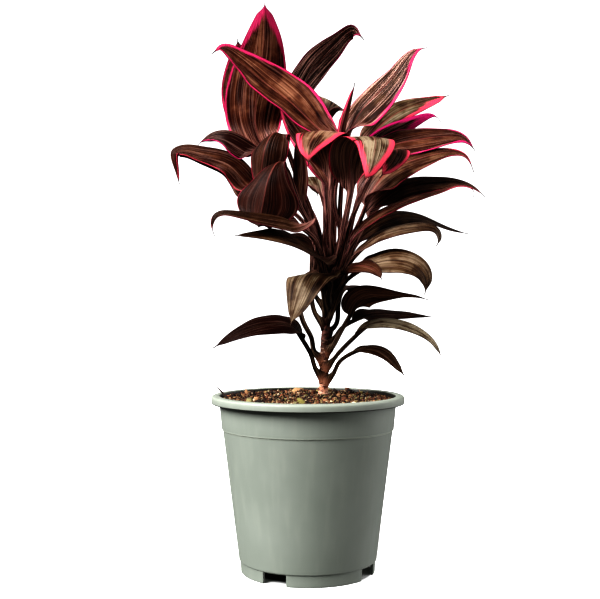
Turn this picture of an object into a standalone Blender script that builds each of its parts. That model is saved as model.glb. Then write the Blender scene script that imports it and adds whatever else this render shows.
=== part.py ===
"""A ti plant in its nursery pot, at real size.

Sizes are in millimetres, measured from the pot's axis and from the surface that the pot stands on:
X to the right, Y away from the front, Z up. MM turns them into Blender's metres. At the end the whole
plant is slid sideways, so that the part's origin is the middle of its bounding box, on that surface.
"""

import math

import bmesh
import bpy
import numpy as np
from mathutils import Matrix, Vector, noise

MM = 0.001
GAP = 0.3

# Pot, a 19 cm nursery pot with a hooked lip, a ledge high on the wall and a foot band
STEPS = 48
RIM_RADIUS = 95.0
POT_HEIGHT = 172.6
LIP_HEIGHT = 7.8
LIP_WALL = 2.1
NECK_RADIUS = 87.0
LEDGE_HEIGHT = 139.5
LEDGE_RADIUS = 83.6
LEDGE_STEP = 1.0
BAND_HEIGHT = 12.1
BAND_RADIUS = 66.4
BAND_STEP = 1.2
BASE_RADIUS = 65.8
WALL = 1.8
FLOOR_UNDERSIDE = 12.8
FLOOR_TOP = 15.0
NOTCH_ANGLES = [-119.0, -29.0, 61.0, 151.0]
NOTCH_WIDTH = 25.0
NOTCH_HEIGHT = 11.4
DRAIN_RADIUS = 5.0
DRAIN_CIRCLE = 52.0

# Soil, level near the wall and mounded a little round the cane
SOIL_RINGS = 9
SOIL_LEVEL = 165.6
MOUND_HEIGHT = 5.2
MOUND_SPREAD = 38.0
LUMP_HEIGHT = 1.5
LUMP_SPAN = 11.0

# Cane: height, X, Y and radius of the points that its line passes through
CANE_SIDES = 12
CANE_FOOT = 118.0
CANE_TOP = 322.0
CANE_LINE = [
    (118, 15.5, 20.0, 4.6),
    (171, 15.5, 20.0, 4.6),
    (218, 17.0, 17.0, 4.1),
    (257, 19.5, 12.0, 3.8),
    (288, 22.5, 6.0, 3.6),
    (322, 25.5, -0.5, 2.3),
]
CANE_POINT_SPACING = 6.8
SCAR_RISE = 0.28
CANE_TIP_TAPER = 0.9

# Bark splinter that stands in the soil by the rim
SPLINTER_LINE = [(-72, -10, 157), (-77, -8, 167), (-83, -5, 174), (-88, -3, 179), (-91, -2, 183)]
SPLINTER_RADIUS = 1.1

# Leaves: petiole and blade are one piece, seated against the cane
SEAT_GAP = 0.35
SEAT_TRIES = 6
KNEE_OUT = 3.0
KNEE_UP = 5.0
PETIOLE_HALF = 2.1
PETIOLE_THICK = 2.5
PETIOLE_EDGE = 1.0
RIB_THICK = 1.1
BLADE_EDGE = 0.7
TIP_HALF = 0.55
PETIOLE_STATIONS = 5
BLADE_STATIONS = 11
ACROSS = [-1.0, -0.5, 0.0, 0.5, 1.0]

# One entry a leaf, from the lowest to the highest:
# name, height of its seat on the cane, which midrib point the blade starts at, half width,
# roll about the midrib at the petiole and at the tip (degrees, clockwise seen from the cane),
# lift of the blade beside the rib and at the margin (degrees), what else is special to it, and the
# midrib's points. heading is the way that its upper face leans, peak below 1 puts the widest place
# nearer the cane, a high taper narrows both ends, and clock turns the seat round the cane.
LEAVES = [
    ("right_lowest", 187, 1, 8, (30, 30), (8, -12), {},
     [(30, 14, 203), (43, 8, 214), (60, 2, 219), (75, -4, 214), (85, -9, 204), (95, -12, 191)]),
    ("left_low", 191, 1, 13.5, (-42, -30), (8, -12), dict(peak=0.62),
     [(4, 9, 210), (-5, 1, 228), (-15, -7, 240), (-33, -16, 243), (-54, -24, 238), (-75, -30, 229),
      (-91, -34, 220)]),
    ("right_glare", 201, 1, 10, (28, 30), (8, -12), dict(peak=0.6),
     [(34, 10, 216), (47, 4, 230), (62, -2, 241), (83, -8, 243), (104, -12, 236), (121, -15, 224),
      (130, -17, 207)]),
    ("back_low_left", 208, 2, 13, (0, 0), (8, -12), dict(heading=88),
     [(4, 20, 226), (-4, 18, 243), (-8, 24, 258), (-6, 50, 269), (-1, 80, 275), (3, 105, 266)]),
    ("right_pink_under", 216, 1, 16, (-60, 0), (12, 12), dict(peak=0.55, taper=1.3),
     [(34, 10, 232), (44, 6, 248), (55, 0, 264), (74, -5, 269), (95, -9, 270), (109, -11, 269),
      (117, -11, 267)]),
    ("right_black", 223, 1, 11, (28, 15), (5, -12), dict(peak=0.55),
     [(38, 17, 228), (48, 17, 242), (62, 17, 251), (85, 16, 252), (107, 14, 251), (126, 12, 249)]),
    ("back_low_right", 231, 2, 13, (0, 0), (8, -12), dict(heading=85, clock=45),
     [(28, 20, 240), (31, 28, 258), (35, 42, 273), (42, 66, 281), (50, 90, 279), (58, 108, 270)]),
    ("left_strip", 244, 1, 7.5, (55, 45), (6, -10), dict(heading=-150, clock=-165),
     [(7, -10, 331), (-4, -17, 356), (-7, -20, 382), (-8, -21, 401), (-10, -20, 415), (-11, -18, 425)]),
    ("right_drooping", 249, 1, 17, (50, 35), (8, -12), {},
     [(36, -13, 288), (47, -18, 298), (66, -22, 303), (86, -25, 304), (103, -27, 299), (112, -28, 287),
      (112, -28, 273)]),
    ("left_level", 253, 0, 22.3, (-38, -24), (8, -12), dict(peak=0.6),
     [(10, -24, 303), (-5, -56, 320), (-26, -80, 325), (-45, -89, 325), (-66, -92, 324)]),
    ("back_mid", 254, 1, 16, (0, 0), (5, -15), dict(heading=98),
     [(22, 28, 338), (15, 48, 373), (10, 74, 396), (10, 104, 395), (12, 128, 382)]),
    ("right_low_back", 259, 0, 15, (35, 25), (10, -10), dict(peak=0.7, taper=1.1),
     [(42, 15, 310), (59, 22, 333), (81, 30, 346), (102, 36, 351), (126, 40, 347), (147, 42, 339),
      (167, 43, 334)]),
    ("left_hooked", 261, 1, 38, (10, -5), (-60, -62), dict(peak=0.5, taper=1.95),
     [(0, 10, 338), (-22, 15, 360), (-40, 18, 377), (-54, 20, 397), (-68, 21, 413), (-84, 22, 420),
      (-106, 22, 422), (-125, 21, 421), (-136, 20, 416), (-134, 19, 400), (-128, 19, 387)]),
    ("front_folded", 263, 0, 21, (0, 0), (-5, -15), dict(heading=-118, peak=0.62),
     [(21, -20, 284), (11, -34, 291), (0, -48, 289), (-8, -57, 274), (-15, -61, 256), (-20, -62, 240)]),
    ("right_mid", 266, 1, 18, (42, 30), (10, -8), dict(peak=0.6),
     [(45, 5, 318), (61, 9, 348), (79, 14, 366), (103, 17, 378), (133, 19, 384), (163, 20, 383),
      (178, 20, 371)]),
    ("back_left", 268, 2, 24, (0, 0), (-10, -20), dict(heading=110, peak=1.0),
     [(5, 36, 336), (-25, 66, 382), (-54, 80, 426), (-63, 86, 450), (-68, 86, 486), (-71, 80, 520),
      (-74, 72, 543)]),
    ("right_low_front", 271, 0, 13, (35, 25), (10, -12), dict(clock=-42, peak=1.0),
     [(40, -14, 302), (53, -15, 316), (72, -15, 329), (91, -18, 335), (110, -21, 337), (125, -22, 332),
      (127, -22, 325), (124, -22, 318)]),
    ("left_thin_hook", 274, 1, 21, (-10, -10), (-30, -40), dict(peak=0.5, taper=1.2),
     [(8, -30, 321), (-5, -55, 332), (-25, -79, 340), (-51, -90, 343), (-70, -94, 346), (-84, -95, 344),
      (-86, -95, 336), (-82, -95, 325)]),
    ("left_black", 275, 2, 25.5, (-15, -5), (-35, -45), dict(peak=0.62),
     [(3, 20, 345), (-19, 26, 386), (-40, 27, 414), (-61, 28, 433), (-82, 30, 441), (-99, 32, 437),
      (-112, 33, 424)]),
    ("right_magenta", 277, 2, 15, (45, 30), (10, -10), dict(taper=0.75),
     [(43, 15, 338), (53, 23, 377), (61, 32, 407), (74, 39, 430), (97, 44, 444), (118, 46, 454),
      (132, 46, 456), (138, 46, 450)]),
    ("front_small", 278, 0, 14, (40, 10), (5, -15), dict(clock=-77, peak=0.75),
     [(34, -20, 292), (43, -34, 298), (53, -48, 298), (63, -58, 293), (68, -64, 285)]),
    ("back_tall", 281, 2, 31, (0, 0), (-12, -14), dict(heading=100, peak=0.75, taper=0.68),
     [(12, 26, 332), (-13, 46, 380), (-43, 60, 418), (-56, 62, 447), (-52, 62, 481), (-45, 56, 527),
      (-44, 46, 571)]),
    ("right_slender", 284, 0, 11, (30, 15), (5, -10), dict(clock=-40, peak=0.75),
     [(40, -11, 315), (56, -11, 340), (77, -12, 354), (100, -11, 364), (130, -9, 373), (154, -6, 378),
      (163, -5, 373), (163, -5, 367)]),
    ("left_hanging", 286, 2, 34, (0, 0), (-24, -30), dict(heading=-105, peak=1.35, taper=0.75),
     [(7, -22, 328), (-8, -36, 355), (-18, -44, 383), (-26, -51, 396), (-34, -60, 383), (-40, -64, 362),
      (-45, -64, 341)]),
    ("back_arching", 288, 2, 22, (0, 0), (8, -15), dict(heading=88),
     [(27, 28, 355), (23, 48, 414), (18, 64, 458), (18, 88, 483), (20, 116, 480), (23, 132, 457)]),
    ("right_long", 290, 2, 20, (55, 35), (8, -12), dict(taper=0.75),
     [(42, 9, 336), (53, 14, 376), (64, 17, 405), (81, 19, 420), (107, 20, 427), (137, 21, 431),
      (159, 21, 428), (169, 20, 416)]),
    ("left_hooded", 293, 2, 22, (0, 0), (-22, -38), dict(heading=-115),
     [(5, 3, 345), (-9, -2, 382), (-20, -12, 412), (-31, -24, 428), (-38, -34, 417), (-44, -36, 394),
      (-47, -36, 374)]),
    ("front_right_short", 294, 2, 14, (10, 0), (0, -20), dict(heading=-68, clock=-38),
     [(40, -8, 335), (51, -13, 364), (62, -16, 387), (78, -24, 409), (84, -40, 408), (77, -54, 393),
      (66, -62, 379)]),
    ("rear_up_right", 297, 1, 22.5, (-75, -65), (6, 0), dict(peak=1.2),
     [(18, 28, 350), (14, 40, 398), (-1, 48, 438), (-9, 50, 479), (9, 48, 512), (31, 44, 535),
      (46, 40, 545), (56, 40, 536)]),
    ("left_rising", 300, 1, 14, (-50, -45), (6, -10), {},
     [(20, 0, 348), (21, -1, 372), (13, 3, 400), (-1, 14, 424), (-16, 28, 446), (-30, 41, 468)]),
    ("right_olive", 300, 2, 16.3, (45, 35), (8, -12), dict(taper=0.7),
     [(38, 22, 342), (47, 34, 388), (57, 47, 423), (76, 59, 448), (100, 67, 466), (127, 71, 476),
      (150, 73, 483)]),
    ("front_right", 303, 1, 24, (0, 0), (-5, -18), dict(heading=-80, peak=0.75, clock=-66),
     [(35, -15, 340), (40, -23, 370), (39, -34, 398), (45, -48, 415), (59, -64, 417), (59, -84, 398),
      (54, -92, 381), (48, -94, 371)]),
    ("right_striped", 308, 2, 21.5, (52, 55), (-18, -20), dict(peak=0.62, taper=1.0),
     [(32, 10, 344), (34, 11, 386), (39, 12, 426), (49, 14, 448), (70, 15, 472), (91, 15, 496),
      (108, 13, 515), (120, 13, 518)]),
    ("right_broad", 309, 1, 21, (55, 40), (8, -12), dict(peak=0.5, taper=1.2),
     [(46, -2, 334), (57, -3, 359), (68, -1, 381), (88, 2, 398), (116, 5, 408), (141, 7, 413),
      (156, 7, 410), (165, 6, 393)]),
    ("front_left", 312, 1, 24, (0, 0), (-5, -15), dict(heading=-95, peak=0.8),
     [(22, -18, 348), (22, -24, 382), (20, -34, 407), (13, -52, 424), (5, -72, 416), (0, -84, 401),
      (0, -86, 387)]),
    ("left_diagonal", 315, 2, 27, (-50, -50), (20, 20), {},
     [(22, 7, 344), (24, 9, 381), (26, 7, 415), (5, 9, 439), (-18, 16, 464), (-48, 22, 488),
      (-74, 24, 513), (-88, 23, 521), (-97, 21, 515)]),
    ("spear", 318, 1, 7, (0, 0), (50, 60), {},
     [(28, 2, 350), (31, 5, 400), (36, 8, 433), (42, 10, 460), (47, 11, 483)]),
]
YOUNGEST_FROM = 275


def material(name, colour, roughness):
    made = bpy.data.materials.new(name)
    made.use_nodes = True
    shader = made.node_tree.nodes["Principled BSDF"]
    shader.inputs["Base Color"].default_value = (*colour, 1.0)
    shader.inputs["Roughness"].default_value = roughness
    shader.inputs["Metallic"].default_value = 0.0
    return made


def new_object(name, mesh, collection, finish=None):
    obj = bpy.data.objects.new(name, mesh)
    collection.objects.link(obj)
    if finish:
        mesh.materials.append(finish)
    return obj


def make_cutter(name, mesh, collection):
    obj = new_object(name, mesh, collection)
    obj.hide_render = True
    obj.display_type = "WIRE"
    return obj


def cut(obj, collection):
    boolean = obj.modifiers.new("openings", "BOOLEAN")
    boolean.operation = "DIFFERENCE"
    boolean.operand_type = "COLLECTION"
    boolean.collection = collection
    boolean.solver = "EXACT"


def turned(name, profile, collection, finish):
    """A solid of revolution: the profile goes from the axis up the inside and down the outside, back to it."""
    points = [(radius * MM, 0.0, height * MM) for radius, height in profile]
    mesh = bpy.data.meshes.new(name)
    mesh.from_pydata(points, [(i, i + 1) for i in range(len(points) - 1)], [])
    obj = new_object(name, mesh, collection, finish)
    screw = obj.modifiers.new("turn", "SCREW")
    screw.axis = "Z"
    screw.angle = 2 * math.pi
    screw.steps = screw.render_steps = STEPS
    screw.use_merge_vertices = True
    screw.merge_threshold = 0.00001
    screw.use_smooth_shade = True
    return obj


def as_mesh(obj, weld=0.0):
    """Swaps an object for the mesh that its modifiers or its curve make, and keeps its name."""
    graph = bpy.context.evaluated_depsgraph_get()
    mesh = bpy.data.meshes.new_from_object(obj.evaluated_get(graph))
    if weld:
        edit = bmesh.new()
        edit.from_mesh(mesh)
        bmesh.ops.remove_doubles(edit, verts=edit.verts, dist=weld)
        bmesh.ops.recalc_face_normals(edit, faces=edit.faces)
        edit.to_mesh(mesh)
        edit.free()
    name = obj.name
    collection = obj.users_collection[0]
    place = obj.matrix_world.copy()
    bpy.data.objects.remove(obj)
    made = bpy.data.objects.new(name, mesh)
    made.matrix_world = place
    collection.objects.link(made)
    return made


def wall_outside(height):
    """Radius of the pot's outer wall: two cones, with a small step in at the ledge."""
    if height >= LEDGE_HEIGHT:
        low, high = LEDGE_RADIUS + LEDGE_STEP, NECK_RADIUS
        return low + (high - low) * (height - LEDGE_HEIGHT) / (POT_HEIGHT - LIP_HEIGHT - LEDGE_HEIGHT)
    low = BAND_RADIUS + BAND_STEP
    return low + (LEDGE_RADIUS - low) * (height - BAND_HEIGHT) / (LEDGE_HEIGHT - BAND_HEIGHT)


def wall_inside(height):
    return wall_outside(height) - WALL


def pot_profile():
    lip_bottom = POT_HEIGHT - LIP_HEIGHT
    roof = POT_HEIGHT - LIP_WALL
    hook = RIM_RADIUS - LIP_WALL
    return [
        (0.0, FLOOR_TOP),
        (wall_inside(FLOOR_TOP) - 2.0, FLOOR_TOP),
        (wall_inside(FLOOR_TOP + 2.0), FLOOR_TOP + 2.0),
        (wall_inside(LEDGE_HEIGHT - 1.0), LEDGE_HEIGHT - 1.0),
        (wall_inside(LEDGE_HEIGHT), LEDGE_HEIGHT),
        (wall_inside(lip_bottom), lip_bottom),
        (NECK_RADIUS - 1.2, POT_HEIGHT - 1.4),
        (NECK_RADIUS, POT_HEIGHT - 0.2),
        (NECK_RADIUS + 1.6, POT_HEIGHT),
        (RIM_RADIUS - 1.8, POT_HEIGHT - 0.3),
        (RIM_RADIUS - 0.4, POT_HEIGHT - 1.2),
        (RIM_RADIUS, POT_HEIGHT - 2.6),
        (RIM_RADIUS, lip_bottom + 0.6),
        (RIM_RADIUS - 0.6, lip_bottom),
        (hook, lip_bottom),
        (hook, roof - 0.8),
        (hook - 0.8, roof),
        (NECK_RADIUS + 2.2, roof),
        (NECK_RADIUS + 1.2, roof - 1.0),
        (wall_outside(lip_bottom), lip_bottom),
        (wall_outside(LEDGE_HEIGHT), LEDGE_HEIGHT + 0.3),
        (LEDGE_RADIUS + LEDGE_STEP - 0.3, LEDGE_HEIGHT),
        (LEDGE_RADIUS, LEDGE_HEIGHT - 0.4),
        (BAND_RADIUS + BAND_STEP, BAND_HEIGHT + 0.7),
        (BAND_RADIUS + BAND_STEP - 0.6, BAND_HEIGHT),
        (BAND_RADIUS, BAND_HEIGHT),
        (BASE_RADIUS, 0.6),
        (BASE_RADIUS - 0.6, 0.0),
        (BASE_RADIUS - 2.6, 0.0),
        (BASE_RADIUS - 2.6, FLOOR_UNDERSIDE - 1.0),
        (BASE_RADIUS - 3.6, FLOOR_UNDERSIDE),
        (0.0, FLOOR_UNDERSIDE),
    ]


def notch_mesh(angle):
    """A block through the foot band, open at the bottom."""
    edit = bmesh.new()
    bmesh.ops.create_cube(edit, size=1.0)
    size = Vector((16.0, NOTCH_WIDTH, 2 * NOTCH_HEIGHT)) * MM
    bmesh.ops.scale(edit, vec=size, verts=edit.verts)
    bmesh.ops.translate(edit, vec=(BASE_RADIUS * MM, 0, 0), verts=edit.verts)
    bmesh.ops.rotate(edit, matrix=Matrix.Rotation(math.radians(angle), 3, "Z"), verts=edit.verts)
    mesh = bpy.data.meshes.new("notch")
    edit.to_mesh(mesh)
    edit.free()
    return mesh


def rod_mesh(name, foot, top, radius, sides):
    """A closed round rod between two points."""
    foot, top = Vector(foot) * MM, Vector(top) * MM
    edit = bmesh.new()
    bmesh.ops.create_cone(
        edit, cap_ends=True, segments=sides, radius1=radius * MM, radius2=radius * MM,
        depth=(top - foot).length,
    )
    turn = (top - foot).to_track_quat("Z", "Y").to_matrix()
    bmesh.ops.rotate(edit, matrix=turn, verts=edit.verts)
    bmesh.ops.translate(edit, vec=(foot + top) / 2, verts=edit.verts)
    mesh = bpy.data.meshes.new(name)
    edit.to_mesh(mesh)
    edit.free()
    return mesh


def make_pot(parts, cutters, finish):
    pot = turned("pot", pot_profile(), parts, finish)
    for number, angle in enumerate(NOTCH_ANGLES):
        make_cutter(f"notch_{number}", notch_mesh(angle), cutters)
        turn = math.radians(angle)
        x, y = DRAIN_CIRCLE * math.cos(turn), DRAIN_CIRCLE * math.sin(turn)
        drain = rod_mesh("drain", (x, y, FLOOR_UNDERSIDE - 4), (x, y, FLOOR_TOP + 4), DRAIN_RADIUS, 12)
        make_cutter(f"drain_{number}", drain, cutters)
    cut(pot, cutters)
    return pot


def soil_height(x, y):
    """Level ground, a mound round the cane that fades with distance, and lumps from smooth noise."""
    _, cane_x, cane_y, _ = CANE_LINE[1]
    away = math.hypot(x - cane_x, y - cane_y)
    mound = MOUND_HEIGHT * math.exp(-((away / MOUND_SPREAD) ** 2))
    lump = LUMP_HEIGHT * noise.noise(Vector((x / LUMP_SPAN, y / LUMP_SPAN, 3.7)))
    return SOIL_LEVEL + mound + lump


def make_soil(parts, cutters, finish):
    edge = wall_inside(SOIL_LEVEL) - GAP
    rings = [edge * k / SOIL_RINGS for k in range(SOIL_RINGS)] + [edge - 2.0]
    profile = [(radius, SOIL_LEVEL) for radius in rings]
    profile += [
        (wall_inside(SOIL_LEVEL - 1.5) - GAP, SOIL_LEVEL - 1.5),
        (wall_inside(LEDGE_HEIGHT) - GAP, LEDGE_HEIGHT),
        (wall_inside(LEDGE_HEIGHT - 1.0) - GAP, LEDGE_HEIGHT - 1.0),
        (wall_inside(FLOOR_TOP + 2.0) - 2 * GAP, FLOOR_TOP + 2.0),
        (wall_inside(FLOOR_TOP) - 2.0 - 2 * GAP, FLOOR_TOP + GAP),
        (0.0, FLOOR_TOP + GAP),
    ]
    soil = as_mesh(turned("soil", profile, parts, finish))
    for vertex in soil.data.vertices:
        if vertex.co.z > (SOIL_LEVEL - 0.5) * MM:
            vertex.co.z = soil_height(vertex.co.x / MM, vertex.co.y / MM) * MM
    foot, x, y, radius = CANE_LINE[0]
    hole = rod_mesh("cane_hole", (x, y, foot - GAP), (x, y, POT_HEIGHT + 20), radius + 2 * GAP, 16)
    make_cutter("cane_hole", hole, cutters)
    first, second = (np.array(point, float) for point in SPLINTER_LINE[:2])
    along = (second - first) / np.linalg.norm(second - first)
    hole = rod_mesh("splinter_hole", first - 0.5 * along, second + 6 * along, SPLINTER_RADIUS + 2 * GAP, 10)
    make_cutter("splinter_hole", hole, cutters)
    cut(soil, cutters)
    return soil


def tube(name, points, radii, parts, finish):
    """A round bar along the points, with a radius for each, made a welded mesh."""
    curve = bpy.data.curves.new(name, "CURVE")
    curve.dimensions = "3D"
    curve.bevel_depth = MM
    curve.bevel_resolution = (CANE_SIDES - 4) // 2
    curve.use_fill_caps = True
    spline = curve.splines.new("POLY")
    spline.points.add(len(points) - 1)
    for point, place, radius in zip(spline.points, points, radii):
        point.co = (*(c * MM for c in place), 1.0)
        point.radius = radius
    curve.materials.append(finish)
    obj = bpy.data.objects.new(name, curve)
    parts.objects.link(obj)
    made = as_mesh(obj, weld=0.000001)
    made.data.shade_smooth()
    made.data.set_sharp_from_angle(angle=math.radians(50))
    return made


def cane_rings():
    """Height, X, Y and radius of each ring of the cane. Above the soil every second one is a leaf scar."""
    line = np.array(CANE_LINE, float)
    ground = line[1, 0]
    count = 2 * round((CANE_TOP - ground) / CANE_POINT_SPACING / 2) + 1
    heights = np.concatenate([[CANE_FOOT, ground - 8], np.linspace(ground, CANE_TOP, count)])
    x, y, radius = (np.interp(heights, line[:, 0], line[:, k]) for k in (1, 2, 3))
    radius[3::2] += SCAR_RISE
    radius[-1] -= CANE_TIP_TAPER
    return np.column_stack([heights, x, y, radius])


def cane_at(height):
    """Centre and radius of the cane at one height, or at many."""
    rings = cane_rings()
    x, y, radius = (np.interp(height, rings[:, 0], rings[:, k]) for k in (1, 2, 3))
    return np.stack([x, y, height + 0 * x], axis=-1), radius


def make_cane(parts, finish):
    rings = cane_rings()
    points = rings[:, [1, 2, 0]]
    return tube("stem", points, rings[:, 3], parts, finish)


def make_splinter(parts, finish):
    count = len(SPLINTER_LINE)
    radii = [SPLINTER_RADIUS * (1.0 - 0.16 * max(k - 1, 0)) for k in range(count)]
    return tube("twig", SPLINTER_LINE, radii, parts, finish)


def smooth_step(x):
    x = np.clip(x, 0.0, 1.0)
    return x * x * (3 - 2 * x)


def through(points):
    """A natural cubic spline through the points, by chord length: returns a reader and each point's mark."""
    points = np.asarray(points, float)
    step = np.linalg.norm(np.diff(points, axis=0), axis=1)
    marks = np.concatenate([[0.0], np.cumsum(step)])
    inner = len(points) - 2
    system = np.diag(2 * (step[:-1] + step[1:])) + np.diag(step[1:-1], 1) + np.diag(step[1:-1], -1)
    slope = np.diff(points, axis=0) / step[:, None]
    bend = np.zeros_like(points)
    bend[1 : inner + 1] = np.linalg.solve(system, 6 * np.diff(slope, axis=0))

    def read(fraction):
        x = np.asarray(fraction) * marks[-1]
        k = np.clip(np.searchsorted(marks, x, side="right") - 1, 0, len(step) - 1)
        h, a, b = step[k][:, None], (marks[k + 1] - x)[:, None], (x - marks[k])[:, None]
        curved = (bend[k] * a**3 + bend[k + 1] * b**3) / (6 * h)
        return curved + (points[k] / h - bend[k] * h / 6) * a + (points[k + 1] / h - bend[k + 1] * h / 6) * b

    return read, marks / marks[-1]


def seated(midrib, height, clock, clearance):
    """Puts two points before the midrib: one against the cane, and a knee where the petiole turns up."""
    centre, radius = cane_at(height)
    out = (np.array(midrib[0], float) - centre) * [1, 1, 0]
    if clock is not None:
        out = np.array([math.cos(math.radians(clock)), math.sin(math.radians(clock)), 0.0])
    out /= np.linalg.norm(out)
    start = centre + out * (radius + clearance)
    return [start, start + out * KNEE_OUT + [0, 0, KNEE_UP], *midrib]


def leaf_points(points, blade_from, half_width, roll, lift, heading=None, peak=0.8, taper=0.9):
    """Upper and lower points of a leaf, as two grids of stations by places across it.

    Each section is an arc that starts beside the rib at one angle and reaches the margin at another. On
    the petiole it is a deep channel. The half width swells and tapers as a power of a sine, and the
    section rolls about the midrib from the petiole to the tip.
    """
    read, marks = through(points)
    blade = marks[blade_from + 2]
    stations = np.concatenate(
        [
            np.linspace(0, blade, PETIOLE_STATIONS, endpoint=False),
            np.linspace(blade, 1, BLADE_STATIONS),
        ]
    )
    middle = read(stations)
    along = read(np.clip(stations + 0.001, 0, 1)) - read(np.clip(stations - 0.001, 0, 1))
    along /= np.linalg.norm(along, axis=1)[:, None]
    out = np.subtract(points[-1], points[0]) * [1, 1, 0]
    if heading is not None:
        out = np.array([math.cos(math.radians(heading)), math.sin(math.radians(heading)), 0.0])
    level = np.cross([0, 0, 1], out / np.linalg.norm(out))
    side = level - (along @ level)[:, None] * along
    side /= np.linalg.norm(side, axis=1)[:, None]
    up = np.cross(along, side)

    t = np.clip((stations - blade) / (1 - blade), 0, 1)
    turn = np.radians(roll[0] + (roll[1] - roll[0]) * t) * smooth_step(4 * t + 0.25)
    cosine, sine = np.cos(turn)[:, None], np.sin(turn)[:, None]
    side, up = cosine * side + sine * up, cosine * up - sine * side

    swell = half_width * np.clip(np.sin(np.pi * t**peak), 0, 1) ** taper
    slim = smooth_step(5 * t)
    width = np.maximum(swell, PETIOLE_HALF * (1 - slim) + TIP_HALF * slim)[:, None]
    opened = smooth_step(4 * t)[:, None]
    at_rib = np.radians(25 * (1 - opened) + lift[0] * opened)
    at_margin = np.radians(60 * (1 - opened) + lift[1] * opened)

    across = np.array(ACROSS)
    outward = np.abs(across)[None, :]
    hand = np.sign(across)[None, :]
    turning = at_margin - at_rib
    turning = np.where(np.abs(turning) < 0.0001, 0.0001, turning)
    angle = at_rib + turning * outward
    reach = hand * width * (np.sin(angle) - np.sin(at_rib)) / turning
    rise = width * (np.cos(at_rib) - np.cos(angle)) / turning
    top = middle[:, None] + side[:, None] * reach[..., None] + up[:, None] * rise[..., None]
    lean = np.where(outward > 0, -np.sin(angle) * hand, 0.0)
    stand = np.where(outward > 0, np.cos(angle), 1.0)
    face = side[:, None] * lean[..., None] + up[:, None] * stand[..., None]
    rib = PETIOLE_THICK * (1 - opened) + RIB_THICK * opened
    edge = PETIOLE_EDGE * (1 - opened) + BLADE_EDGE * opened
    thick = edge + (rib - edge) * (1 - outward) ** 1.5
    return top, top - face * thick[..., None]


def loft(top, low):
    """Closes two grids into one body. Both faces are split into triangles the same way."""
    rows, columns, _ = top.shape
    under = rows * columns
    faces = []
    for i in range(rows - 1):
        for j in range(columns - 1):
            a, b = i * columns + j, (i + 1) * columns + j
            c, d = b + 1, a + 1
            corners = [(a, b, c), (a, c, d)] if j < columns // 2 else [(a, b, d), (b, c, d)]
            faces += corners
            faces += [(p + under, r + under, q + under) for p, q, r in corners]
        a, b = i * columns, (i + 1) * columns
        faces += [(b, a, a + under), (b, a + under, b + under)]
        a, b = a + columns - 1, b + columns - 1
        faces += [(a, b, b + under), (a, b + under, a + under)]
    for j in range(columns - 1):
        a, d = j, j + 1
        faces += [(a, d, d + under), (a, d + under, a + under)]
        b, c = (rows - 1) * columns + j, (rows - 1) * columns + j + 1
        faces += [(c, b, b + under), (c, b + under, c + under)]
    return np.concatenate([top.reshape(-1, 3), low.reshape(-1, 3)]), faces


def seated_leaf(height, blade_from, half_width, roll, lift, midrib, clock=None, **shape):
    """The leaf's two grids, brought towards the cane until its nearest point is one seat gap away."""
    clearance = PETIOLE_HALF
    for _ in range(SEAT_TRIES):
        points = seated(midrib, height, clock, clearance)
        top, low = leaf_points(points, blade_from, half_width, roll, lift, **shape)
        foot = np.concatenate([top[:PETIOLE_STATIONS].reshape(-1, 3), low[:PETIOLE_STATIONS].reshape(-1, 3)])
        foot = foot[foot[:, 2] < CANE_TOP]
        centre, radius = cane_at(foot[:, 2])
        nearest = (np.linalg.norm(foot - centre, axis=1) - radius).min()
        clearance += SEAT_GAP - nearest
    return top, low


def make_leaf(entry, parts, finishes):
    name, height, blade_from, half_width, roll, lift, special, midrib = entry
    top, low = seated_leaf(height, blade_from, half_width, roll, lift, midrib, **special)
    points, faces = loft(top, low)
    mesh = bpy.data.meshes.new(name)
    mesh.from_pydata((points * MM).tolist(), [], faces)
    mesh.shade_smooth()
    mesh.set_sharp_from_angle(angle=math.radians(60))
    finish = finishes["young" if height >= YOUNGEST_FROM else "old"]
    return new_object(f"leaf_{name}", mesh, parts, finish)


def box_of(objects):
    """Lowest and highest corners of the finished objects, in metres."""
    graph = bpy.context.evaluated_depsgraph_get()
    corners = []
    for obj in objects:
        finished = obj.evaluated_get(graph)
        corners += [finished.matrix_world @ vertex.co for vertex in finished.data.vertices]
    corners = np.array(corners)
    return corners.min(axis=0), corners.max(axis=0)


def main():
    for obj in list(bpy.data.objects):
        bpy.data.objects.remove(obj)
    parts = bpy.data.collections.new("ti_plant")
    bpy.context.scene.collection.children.link(parts)
    hidden = bpy.data.collections.new("cutters")
    hidden.hide_render = True
    bpy.context.scene.collection.children.link(hidden)
    pot_cutters = bpy.data.collections.new("pot_cutters")
    soil_cutters = bpy.data.collections.new("soil_cutters")
    for collection in (pot_cutters, soil_cutters):
        collection.hide_render = True
        hidden.children.link(collection)

    made = [make_pot(parts, pot_cutters, material("sage_plastic", (0.27, 0.31, 0.25), 0.5))]
    made.append(make_soil(parts, soil_cutters, material("potting_mix", (0.09, 0.05, 0.025), 0.95)))
    made.append(make_splinter(parts, material("bark", (0.03, 0.02, 0.015), 0.9)))
    made.append(make_cane(parts, material("cane", (0.28, 0.14, 0.08), 0.7)))
    finishes = {
        "young": material("leaf_young", (0.12, 0.025, 0.03), 0.4),
        "old": material("leaf_old", (0.05, 0.03, 0.02), 0.4),
    }
    made += [make_leaf(entry, parts, finishes) for entry in LEAVES]

    base = bpy.data.objects.new("plant_base", None)
    parts.objects.link(base)
    for obj in made + list(hidden.all_objects):
        obj.parent = base
    bpy.context.view_layer.update()
    low, high = box_of(made)
    base.location = (-(low[0] + high[0]) / 2, -(low[1] + high[1]) / 2, 0.0)
    bpy.context.view_layer.update()


main()
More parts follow.
